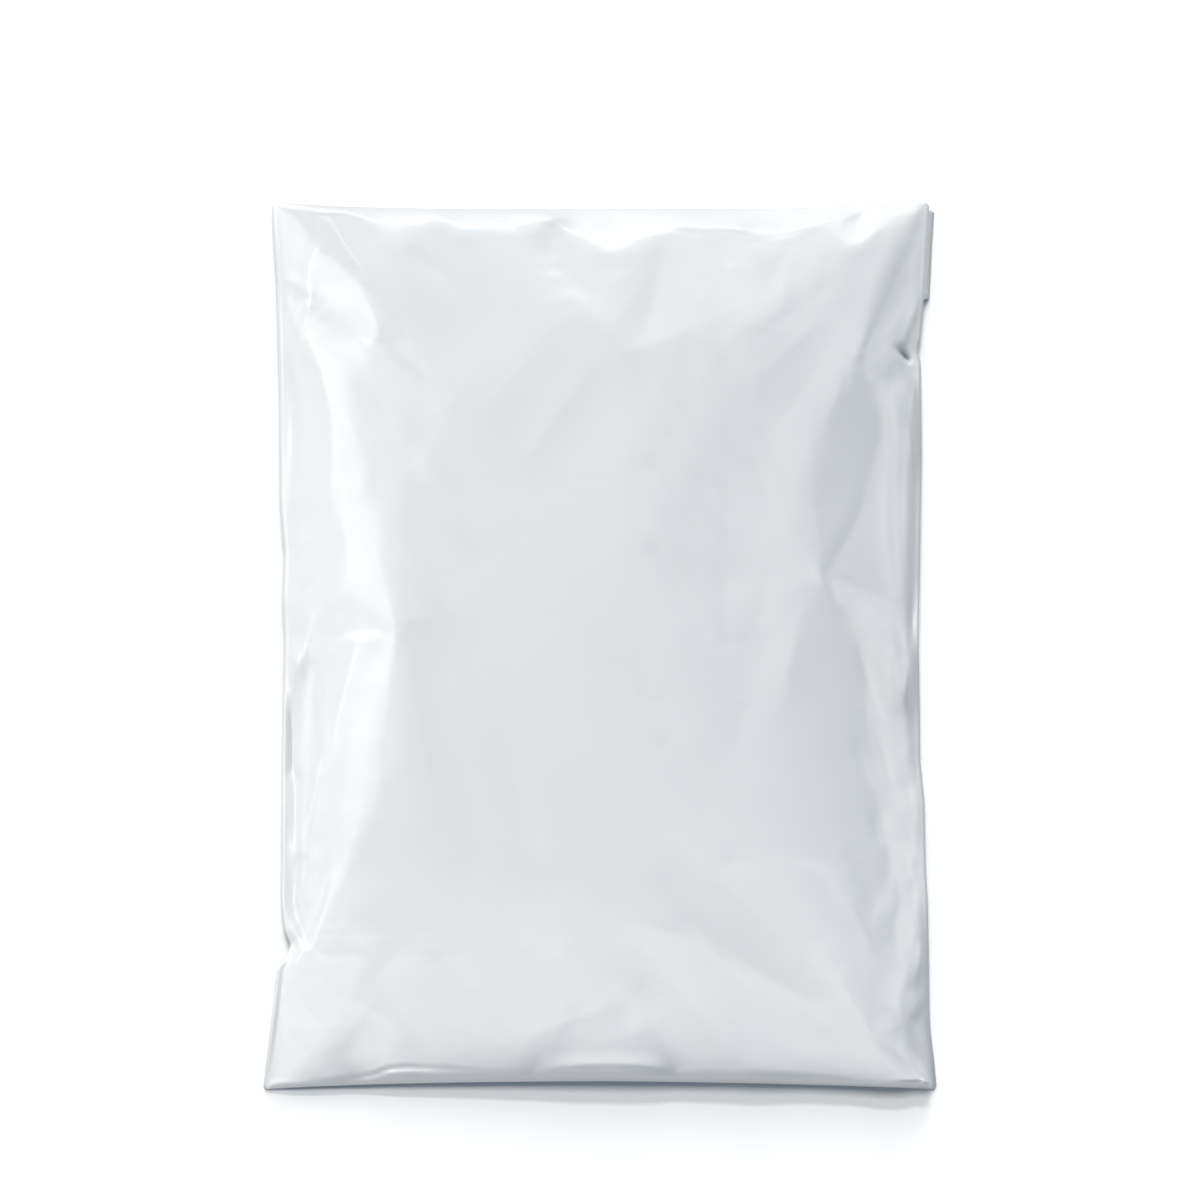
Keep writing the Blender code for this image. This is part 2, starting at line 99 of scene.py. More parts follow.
# how far the slopes reach in from each rim, in mm, at even steps along it: the sides from the
# bottom fold to the top fold, the ends from the left weld to the right
leftSlope = (106.6, 97.7, 88.7, 74.8, 65.4, 54.1, 46.8, 45.7, 43.9, 43.4, 44.4, 46.8, 47.2, 49.9,
             50.7, 44.4, 42.7)
rightSlope = (24.6, 36.7, 51.8, 75.8, 94.9, 108.5, 117.5, 121.4, 118.8, 119.1, 110.4, 95.5, 86.1,
              81.4, 92.9, 106.4, 108.4)
bottomSlope = (18, 20, 24.1, 20.8, 23.6, 24.1, 22.2, 18.7, 17.5, 16.5, 17.7, 18.6, 15.2, 15.9,
               11.5, 6.5, 6)
topSlope = (6, 6, 6, 7.1, 12.6, 11.4, 8.6, 12.3, 13, 13.7, 13.1, 22.9, 26.5, 26.1, 19.9, 15.3,
            18.3, 24, 31.2, 34.6, 37.3, 39.3, 33.6, 30.6, 29.7)

# outer edge of each weld, as (v, mm from the middle line)
leftWeld = [(-1, 125.5), (-0.887, 123.1), (-0.775, 120.9), (-0.725, 120.2), (-0.696, 116.6),
            (-0.673, 114.8), (-0.640, 117.3), (-0.572, 118.4), (-0.347, 118.1), (-0.122, 117.7),
            (0.025, 117.3), (0.104, 118.0), (0.216, 117.3), (0.239, 117.7), (0.329, 118.8),
            (0.554, 119.1), (0.667, 119.5), (0.824, 120.2), (0.926, 121.4), (1, 122.2)]
rightWeld = [(-1, 125.5), (-0.932, 124.3), (-0.865, 122.9), (-0.82, 122.5), (-0.685, 122.2),
             (-0.572, 121.8), (-0.505, 121.1), (-0.347, 120.6), (-0.257, 119.0), (-0.122, 118.8),
             (0.014, 118.4), (0.216, 119.0), (0.441, 119.6), (0.642, 119.2), (0.667, 117.9),
             (0.689, 119.1), (0.775, 120.3), (0.914, 121.5), (1, 122.6)]

# Creases in the front film, each with the reach of its slopes left and right of the path in mm,
# and the path as (u, v, rise in mm). A valley has a minus sign. The slopes above and nearly all
# of the creases come from a fitting program, which moved their numbers until the film shaded much
# as it does in the photograph.
frontFolds = {
    "leftBend": ((30, 30), [(-0.954, 0.797, 1.55), (-0.92, 0.713, 2.97), (-0.864, 0.609, 3.22),
        (-0.827, 0.443, 1.92), (-0.812, 0.287, 1.78), (-0.792, 0.148, 1.51)]),
    "leftShoulderUpper": ((30, 17.9), [(-0.772, 0.591, 0.47), (-0.725, 0.396, -0.67),
        (-0.676, 0.223, 1.19), (-0.61, 0.064, 1.82)]),
    "leftDent": ((9.3, 9), [(-0.66, 0.024, 0.17), (-0.748, 0.032, -2.31), (-0.843, 0.01, -1.75),
        (-0.945, 0.018, -0.21)]),
    "leftShoulderLower": ((30, 26.3), [(-0.651, 0.02, 1.13), (-0.662, -0.064, 2.05),
        (-0.678, -0.257, 0.32), (-0.742, -0.431, 0.33), (-0.824, -0.543, 1.1),
        (-0.882, -0.664, 1.45), (-0.966, -0.675, 1.43)]),
    "bottomLeftDip": ((30, 11.1), [(-0.924, -0.928, 0.32), (-0.81, -0.913, 0.06),
        (-0.738, -0.84, 0.83), (-0.693, -0.796, 0.03)]),
    "bottomLeftTuck": ((8.6, 16.9), [(-0.202, -0.994, -1.71), (-0.192, -0.955, -1.58),
        (-0.158, -0.898, -0.4)]),
    "bottomRidge": ((30, 30), [(-0.194, -0.883, 1.5), (-0.112, -0.856, 1.52), (0.05, -0.807, 0.96),
        (0.128, -0.777, -0.78)]),
    "bottomSpur": ((18.5, 18.4), [(-0.053, -0.606, 0.49), (0.042, -0.693, 1.04),
        (0.121, -0.759, 1.46), (0.134, -0.826, 0.48), (0.115, -0.875, 0.79)]),
    "bottomRightTuck": ((10.4, 9.6), [(0.23, -0.992, -1.47), (0.218, -0.948, -1.09),
        (0.175, -0.864, -0.27)]),
    "bottomRightHollow": ((17.6, 25.4), [(0.168, -0.379, -0.17), (0.153, -0.486, 0.42),
        (0.209, -0.572, -0.69), (0.317, -0.656, -1.72), (0.479, -0.736, -1.91),
        (0.641, -0.801, -1.15)]),
    "bottomRightBrow": ((12, 10.7), [(0.195, -0.396, -0.08), (0.33, -0.473, 0.07),
        (0.504, -0.59, 0.27), (0.628, -0.72, -0.21)]),
    "rightKnee": ((10.2, 6), [(0.406, -0.487, -0.23), (0.538, -0.473, 0.05),
        (0.659, -0.483, -0.46), (0.73, -0.527, 0.34), (0.794, -0.61, 2), (0.844, -0.695, 0.18)]),
    "rightLeafBrow": ((30, 30), [(0.781, 0.617, 2.18), (0.707, 0.509, 1.69), (0.659, 0.404, 2.04),
        (0.676, 0.296, 1.29), (0.702, 0.147, 2.31)]),
    "rightLeafFoot": ((13.9, 6.2), [(0.836, 0.607, -0.78), (0.898, 0.501, -0.55),
        (0.851, 0.399, -0.2), (0.813, 0.277, -0.52), (0.714, 0.167, -0.4)]),
    "rightFoot": ((23.9, 28.6), [(0.731, 0.14, -1.01), (0.785, 0.066, -1.45),
        (0.831, -0.029, -2.34), (0.845, -0.154, -1.76), (0.839, -0.271, -3.04),
        (0.873, -0.378, -3.77), (0.904, -0.506, -2.55), (0.869, -0.578, -2.31)]),
    "rightEdgeFold": ((3.8, 19.5), [(0.991, 0.591, 1.03), (0.983, 0.399, 2.76),
        (0.977, 0.208, 2.04), (0.989, -0.004, 1.01), (0.982, -0.101, 1.96), (0.976, -0.202, 1.63),
        (0.996, -0.313, -0.71)]),
    "topRightRidge": ((5.9, 8.2), [(0.824, 0.664, 0.16), (0.866, 0.718, -0.56),
        (0.919, 0.817, -1.22), (0.955, 0.894, -0.56), (0.981, 0.983, 0.45)]),
    "topRightGutter": ((12.1, 10.1), [(0.824, 0.689, 0.75), (0.861, 0.771, 1.1),
        (0.9, 0.872, 1.45), (0.944, 0.962, 0.65)]),
    "rightPinch": ((6.7, 8.9), [(0.832, 0.646, 0.06), (0.859, 0.625, 0.51), (0.906, 0.593, -0.65),
        (0.954, 0.616, -0.82), (0.981, 0.662, -0.16)]),
    "rightCheek": ((6.6, 6.9), [(0.833, -0.628, -0.41), (0.878, -0.54, -1.06),
        (0.902, -0.477, -0.29)]),
    "cornerRidge": ((10.3, 7.8), [(0.984, -0.992, 2.35), (0.884, -0.964, 2.99),
        (0.813, -0.879, 1.07), (0.8, -0.766, -0.1), (0.801, -0.671, -0.14)]),
    "cornerGutter": ((2.7, 7.1), [(0.976, -0.965, -0.77), (0.963, -0.871, -0.8),
        (0.922, -0.803, -0.44), (0.965, -0.717, 0.07), (0.988, -0.646, 0.8)]),
    "upperRightDrape": ((30, 30), [(0.589, 0.912, -1.49), (0.436, 0.719, 0.91),
        (0.27, 0.555, 0.06), (0.148, 0.395, -0.27)]),
    "upperRightSwell": ((30, 30), [(0.631, 0.866, -0.55), (0.425, 0.759, 0.35),
        (0.204, 0.691, 1.02), (0.087, 0.666, 1.38)]),
    "middleDrape": ((30, 30), [(-0.104, 0.75, 1.28), (-0.285, 0.598, 1.69), (-0.419, 0.495, 0.26),
        (-0.537, 0.376, 0.18)]),
    "middleDrapeRight": ((15.4, 16.9), [(0.028, 0.684, 0.05), (-0.12, 0.534, 0.57),
        (-0.208, 0.447, 0.43)]),
    "rightSplit": ((6.1, 3.6), [(0.883, 0.116, -0.17), (0.948, 0.072, -0.05), (0.983, 0.012, 0.53),
        (0.997, -0.027, 0.69)]),
    "rightSplitLow": ((5.5, 6.5), [(0.995, -0.049, 1.73), (0.947, -0.134, 0.14),
        (0.971, -0.185, -0.41), (0.988, -0.248, 1.34), (0.989, -0.309, 0.66), (1, -0.381, 0.74),
        (0.99, -0.505, 0.02)]),
    "rightVeinA": ((4.4, 4.3), [(0.88, 0.028, 0.26), (0.926, -0.029, 0.27), (0.918, -0.1, 0.38),
        (0.94, -0.158, -0.2)]),
    "rightVeinB": ((3.7, 4.7), [(0.909, 0.041, 0.21), (0.947, -0.036, 0.81), (0.953, -0.123, 0.11),
        (0.966, -0.223, -0.2)]),
    "rightToeA": ((6.1, 9), [(0.841, -0.623, 0.57), (0.875, -0.557, 1.24), (0.896, -0.495, 0.45),
        (0.918, -0.445, -0.19)]),
    "rightToeB": ((5.9, 6.2), [(0.939, -0.711, 0), (0.985, -0.623, 0.84), (0.988, -0.552, -0.29)]),
    "cornerPleat": ((11.4, 17.8), [(0.832, -0.88, 0.5), (0.939, -0.846, 1.65),
        (0.93, -0.787, 2.74), (0.947, -0.731, 1.47)]),
    "bottomPetal": ((10.6, 8.8), [(0.103, -0.628, -0.24), (0.273, -0.651, -0.4),
        (0.361, -0.696, -0.04), (0.323, -0.768, -0.02)]),
    "bottomRightFlute": ((15.1, 14.2), [(0.168, -0.861, 1.05), (0.201, -0.906, 1.33),
        (0.25, -0.954, 0.29)]),
    "bottomLeftFlute": ((9.5, 12.2), [(-0.193, -0.951, 0.84), (-0.149, -0.888, 0.72),
        (-0.07, -0.848, -0.7)]),
    "leftDrapeHigh": ((30, 21.5), [(-0.621, 0.704, 0.3), (-0.486, 0.628, 0.69),
        (-0.309, 0.484, 0.31)]),
    "midLongSwell": ((30, 20.3), [(0.306, 0.785, 0.41), (0.143, 0.505, 0.32),
        (0.007, 0.282, -0.02)]),
    "rightLongSwell": ((30, 30), [(0.516, 0.719, 2.32), (0.449, 0.436, -2.61),
        (0.394, 0.192, -2.6)]),
    "lowerLeftSoft": ((21.5, 14.7), [(-0.411, 0.194, -0.02), (-0.473, -0.123, 0.35),
        (-0.401, -0.484, -0.3)]),
    "gatherF": ((9.1, 11.9), [(-0.152, 0.975, 2.06), (-0.152, 0.958, -0.1), (-0.153, 0.901, -0.48),
        (-0.152, 0.835, -0.14)]),
    "gatherG": ((10.5, 20), [(0.037, 0.987, -1.32), (0.037, 0.946, -1.52), (0.023, 0.906, -0.92),
        (0.06, 0.835, 0.11)]),
    "leftDentFoot": ((9.7, 9), [(-0.971, 0.021, -0.04), (-0.875, 0.01, 1.33),
        (-0.748, 0.023, 2.41), (-0.664, 0.024, -0.37)]),
    "leftEdgeStrip": ((2.6, 2.3), [(-0.97, 0.009, -0.05), (-0.94, -0.008, 0.33),
        (-0.912, -0.064, -0.23), (-0.88, -0.173, 0.5), (-0.904, -0.305, 0.78),
        (-0.938, -0.44, 0.06)]),
    "leftEdgeStripInner": ((8.1, 5.4), [(-0.954, 0.011, -0.2), (-0.883, -0.032, 0.21),
        (-0.869, -0.171, 0.92), (-0.88, -0.348, 0.2), (-0.896, -0.449, -0.14)]),
    "leftWeldGutter": ((2.8, 5.9), [(-0.971, -0.031, 0.62), (-0.963, -0.116, -0.64),
        (-0.972, -0.247, 0.16), (-0.97, -0.38, -2.8), (-0.969, -0.459, -0.28)]),
    "leftLowBand": ((14.3, 7.2), [(-0.648, -0.009, 0.14), (-0.709, -0.122, 0.02),
        (-0.748, -0.248, 0.07), (-0.75, -0.366, 0.49), (-0.788, -0.468, 0.2)]),
    "leftToeRidge": ((4.1, 5.4), [(-0.78, -0.432, 0.11), (-0.806, -0.493, 0.08),
        (-0.858, -0.554, 0.34), (-0.901, -0.627, 1.2), (-0.944, -0.676, 0.23)]),
    "leftToeGutter": ((3.7, 5.5), [(-0.873, -0.454, 0.04), (-0.865, -0.524, -0.19),
        (-0.9, -0.614, -0.98), (-0.952, -0.657, -0.85)]),
    "leftToeSecond": ((4.8, 2), [(-0.934, -0.434, 0.05), (-0.942, -0.506, 0.66),
        (-0.957, -0.576, 0.66), (-0.962, -0.637, -0.19)]),
    "leftCrescent": ((4.8, 3.8), [(-0.989, 0.689, 0.13), (-0.964, 0.613, 0.68), (-0.967, 0.51, -1),
        (-0.982, 0.396, -0.64), (-1.007, 0.285, -0.06)]),
    "leftNotchFan": ((8.5, 9.8), [(-0.957, -0.701, 0.15), (-0.901, -0.672, 0.41),
        (-0.788, -0.676, 0.21), (-0.676, -0.661, 0.15)]),
    "topRightCrestA": ((6, 6.2), [(0.994, 0.929, -0.42), (0.983, 0.864, 0.42),
        (0.956, 0.798, -0.35), (0.927, 0.72, 0.33), (0.885, 0.68, 0.1)]),
    "topRightCrestB": ((5.4, 5.5), [(1.005, 0.773, 0.58), (0.968, 0.739, 0.38), (0.933, 0.7, 0.19),
        (0.897, 0.657, 0.19)]),
    "topRightHollowA": ((3.9, 3.8), [(0.932, 0.938, -0.27), (0.901, 0.874, -0.45),
        (0.871, 0.801, -0.49), (0.842, 0.711, 0.06), (0.819, 0.659, 0.57)]),
    "rightNotchRidge": ((6.6, 6.3), [(0.829, 0.659, -0.07), (0.885, 0.678, -0.12),
        (0.942, 0.656, 1.12), (1.011, 0.626, 0.37)]),
    "rightNotchLower": ((5.8, 6.4), [(0.832, 0.622, -0.09), (0.891, 0.581, 0.63),
        (0.928, 0.533, 1.45), (0.953, 0.467, 0.08), (0.953, 0.374, 0)]),
    "rightWeldGutter": ((3.6, 2.4), [(0.99, 0.554, 0.75), (0.998, 0.419, -0.5),
        (0.996, 0.284, -1.02), (0.999, 0.171, -0.82), (0.991, 0.082, -0.28)]),
    "rightWeldGutterLow": ((3.6, 4.7), [(0.996, -0.013, 0.57), (0.986, -0.101, -0.52),
        (0.998, -0.211, -0.38), (0.997, -0.3, -0.19)]),
    "rightLowCrest": ((4.5, 5.8), [(0.87, -0.302, 0.02), (0.914, -0.316, 0.09),
        (0.959, -0.351, 0.33), (0.963, -0.405, 0.15)]),
    "cornerRidgeTwo": ((8.6, 8.2), [(0.977, -0.992, 0.94), (0.905, -0.952, 1.25),
        (0.858, -0.897, 1.02), (0.79, -0.836, 1.63), (0.745, -0.761, 0.51)]),
    "cornerGutterTwo": ((4.3, 3.3), [(0.974, -0.98, 0.84), (0.926, -0.909, 0.88),
        (0.926, -0.842, 0.28), (0.911, -0.765, 0.05)]),
    "bottomLeftRidgeUp": ((8.8, 4.9), [(-0.887, -0.992, 0.09), (-0.811, -0.927, 0.46),
        (-0.756, -0.869, 0.06), (-0.761, -0.798, 0.07), (-0.763, -0.764, 0.08)]),
    "drapeOne": ((12.9, 20.6), [(0.162, 0.882, 0.07), (0.104, 0.787, 0.34), (-0.013, 0.685, 0.09),
        (-0.143, 0.552, 0.27)]),
    "drapeTwo": ((10, 8.6), [(-0.079, 0.779, -0.18), (-0.179, 0.682, -0.39), (-0.307, 0.581, -0.3),
        (-0.413, 0.5, -0.11)]),
    "drapeThree": ((17.5, 17.4), [(-0.25, 0.869, 0.11), (-0.314, 0.713, 0.17),
        (-0.469, 0.554, 0.16), (-0.56, 0.396, 0.48)]),
    "centreSag": ((24.6, 29.5), [(0.122, 0.599, 0.01), (0.062, 0.374, 0.31), (0.089, 0.106, 0.05),
        (0.149, -0.12, -1.17)]),
    "pillowUp": ((30, 30), [(0.417, 0.598, 0.02), (0.403, 0.373, -0.96), (0.388, 0.194, -0.18),
        (0.399, 0.009, -1.18)]),
    "topLeftRidge": ((15.3, 10), [(-0.989, 0.986, -0.32), (-0.905, 0.962, 0.71),
        (-0.842, 0.897, 0.29), (-0.793, 0.844, 0.11), (-0.73, 0.785, 1.36), (-0.688, 0.734, 1.56),
        (-0.702, 0.684, 0.43), (-0.753, 0.63, -0.04)]),
    "topLeftLens": ((2.5, 4.5), [(-0.956, 0.82, -0.18), (-0.917, 0.789, -0.45),
        (-0.871, 0.759, -0.13), (-0.81, 0.735, -0.12)]),
    "topLeftCurl": ((4.3, 4), [(-0.997, 0.824, 0.54), (-0.961, 0.825, 0.59), (-0.938, 0.807, 0.56),
        (-0.89, 0.786, 0.28)]),
    "leafUnderShoulder": ((6.3, 5.4), [(-0.757, 0.594, -0.2), (-0.732, 0.554, -0.07),
        (-0.676, 0.506, -0.13)]),
    "leftDentLine": ((4.4, 6.4), [(-0.833, 0.13, -0.02), (-0.753, 0.105, 0.17),
        (-0.689, 0.07, 0.12), (-0.645, 0.027, 0.22)]),
    "pinchLine": ((3.2, 4), [(-0.218, 0.867, 0.04), (-0.187, 0.873, 0.04), (-0.15, 0.875, 0.26),
        (-0.119, 0.867, 0.07)]),
    "pinchGlintA": ((4, 4.1), [(-0.182, 0.842, 0.07), (-0.142, 0.839, 0.23),
        (-0.108, 0.833, 0.05)]),
    "pinchGlintB": ((4.9, 5.2), [(-0.149, 0.803, -0.07), (-0.101, 0.793, 0.27),
        (-0.053, 0.781, 0.23)]),
    "scoopA": ((7.6, 7), [(-0.917, 0.984, 0), (-0.84, 0.994, 0.78), (-0.763, 0.983, -0.45),
        (-0.704, 0.968, -0.36), (-0.633, 0.942, -0.21)]),
    "scoopB": ((6.9, 9.3), [(-0.639, 0.955, -0.5), (-0.552, 0.947, 0.09), (-0.491, 0.952, 0.22),
        (-0.43, 0.935, 0.28)]),
    "scoopC": ((6.3, 5.8), [(-0.232, 0.937, 0), (-0.167, 0.963, 0.24), (-0.127, 0.964, 1.63),
        (-0.075, 0.946, 0.76), (-0.006, 0.903, 0.12)]),
    "scoopD": ((6.7, 7.5), [(-0.001, 0.898, 0.38), (0.041, 0.892, 0.57), (0.117, 0.912, -0.15),
        (0.217, 0.932, -0.23), (0.318, 0.942, 0.13), (0.429, 0.952, 0.6)]),
    "scoopE": ((7.6, 7.1), [(0.426, 0.944, 0.11), (0.497, 0.926, 0.41), (0.559, 0.917, -0.13),
        (0.608, 0.934, 0.54), (0.668, 0.948, 0.35)]),
    "scoopF": ((6.8, 9.5), [(0.702, 0.95, 0.32), (0.739, 0.921, 0.08), (0.779, 0.907, 0.51),
        (0.817, 0.917, 0.56), (0.857, 0.943, 0.27), (0.926, 0.959, -0.2)]),
    "rightPinchLoop": ((4.1, 3.9), [(0.823, 0.656, -0.38), (0.836, 0.619, -0.19),
        (0.876, 0.59, 0.27), (0.921, 0.599, 0.14), (0.952, 0.619, 0.39)]),
    "cornerThread": ((3.5, 4.4), [(0.956, 0.908, 0.22), (0.936, 0.846, 0.38), (0.9, 0.779, 0.42),
        (0.866, 0.716, 0.12), (0.837, 0.675, -0.38)]),
    "apexUpper": ((4.2, 5.9), [(0.712, 0.161, -0.31), (0.808, 0.135, -0.41), (0.896, 0.095, 0.28),
        (0.943, 0.057, 0.39), (0.971, 0.014, -0.01)]),
    "apexLower": ((4.4, 5.9), [(0.697, 0.158, 0.52), (0.725, 0.106, 0.27), (0.781, 0.056, -0.24),
        (0.812, -0.005, 0.08)]),
    "rightSeamA": ((4.9, 4.6), [(0.887, 0.575, 0.17), (0.912, 0.465, 0.13), (0.899, 0.328, 0.39),
        (0.911, 0.196, 0.42), (0.937, 0.113, 0.31)]),
    "rightSeamB": ((4.2, 5.1), [(0.932, 0.554, 0.02), (0.934, 0.439, 0.42), (0.933, 0.305, 0.17),
        (0.953, 0.171, 0.55), (0.949, 0.061, 0.04)]),
    "cornerFanA": ((2.4, 4), [(0.983, -0.993, 0.98), (0.942, -0.945, 1.25), (0.891, -0.906, 0.71),
        (0.831, -0.875, -0.05)]),
    "cornerFanB": ((4.6, 3.8), [(0.983, -0.984, 1.05), (0.98, -0.929, 0.77), (0.959, -0.883, 1.07),
        (0.942, -0.84, 0.95)]),
    "cornerFanC": ((3.4, 2.8), [(0.975, -0.968, -0.31), (0.944, -0.922, -1.18),
        (0.915, -0.883, -0.67), (0.914, -0.846, -0.29)]),
    "petalTopRidge": ((5.9, 6.6), [(0.468, -0.5, -0.05), (0.552, -0.478, 0.01),
        (0.643, -0.488, 0.29), (0.71, -0.519, 0.25), (0.75, -0.586, 0.4), (0.783, -0.648, 0.02)]),
    "kneeFacetA": ((4.6, 4.9), [(0.829, -0.224, -0.12), (0.871, -0.263, -0.32),
        (0.913, -0.304, 0.25), (0.931, -0.345, 0.06)]),
    "notchFanA": ((2.8, 4.8), [(-0.97, -0.679, 0.67), (-0.906, -0.712, 0.14), (-0.861, -0.737, 0),
        (-0.804, -0.796, 0)]),
    "footGutter": ((7.2, 14.5), [(-0.851, -0.962, -0.52), (-0.796, -0.916, -0.66),
        (-0.772, -0.877, -0.04), (-0.746, -0.85, -0.24)]),
    "wedgeEdge": ((6, 7), [(-0.423, -0.942, -0.18), (-0.317, -0.922, -0.04), (-0.23, -0.89, 0.08),
        (-0.166, -0.856, 0.05), (-0.072, -0.846, 0.2), (0.029, -0.834, 0.05)]),
    "lipCreaseLeft": ((1.7, 1.4), [(-0.892, -0.993, -0.6), (-0.697, -0.982, -2.4),
        (-0.623, -0.955, -1.3), (-0.479, -0.962, -1.3), (-0.36, -0.968, -0.3)]),
    "lipCreaseMiddle": ((6, 1.9), [(-0.167, -0.968, 0.1), (-0.092, -0.953, 0.9),
        (0.027, -0.95, 1.1), (0.137, -0.953, 0.9), (0.199, -0.964, 0.1)]),
    "weldPocket": ((2.4, 2.4), [(0.945, 0.673, -1), (0.96, 0.662, -6), (0.974, 0.649, -6),
        (0.985, 0.637, -1)]),
}

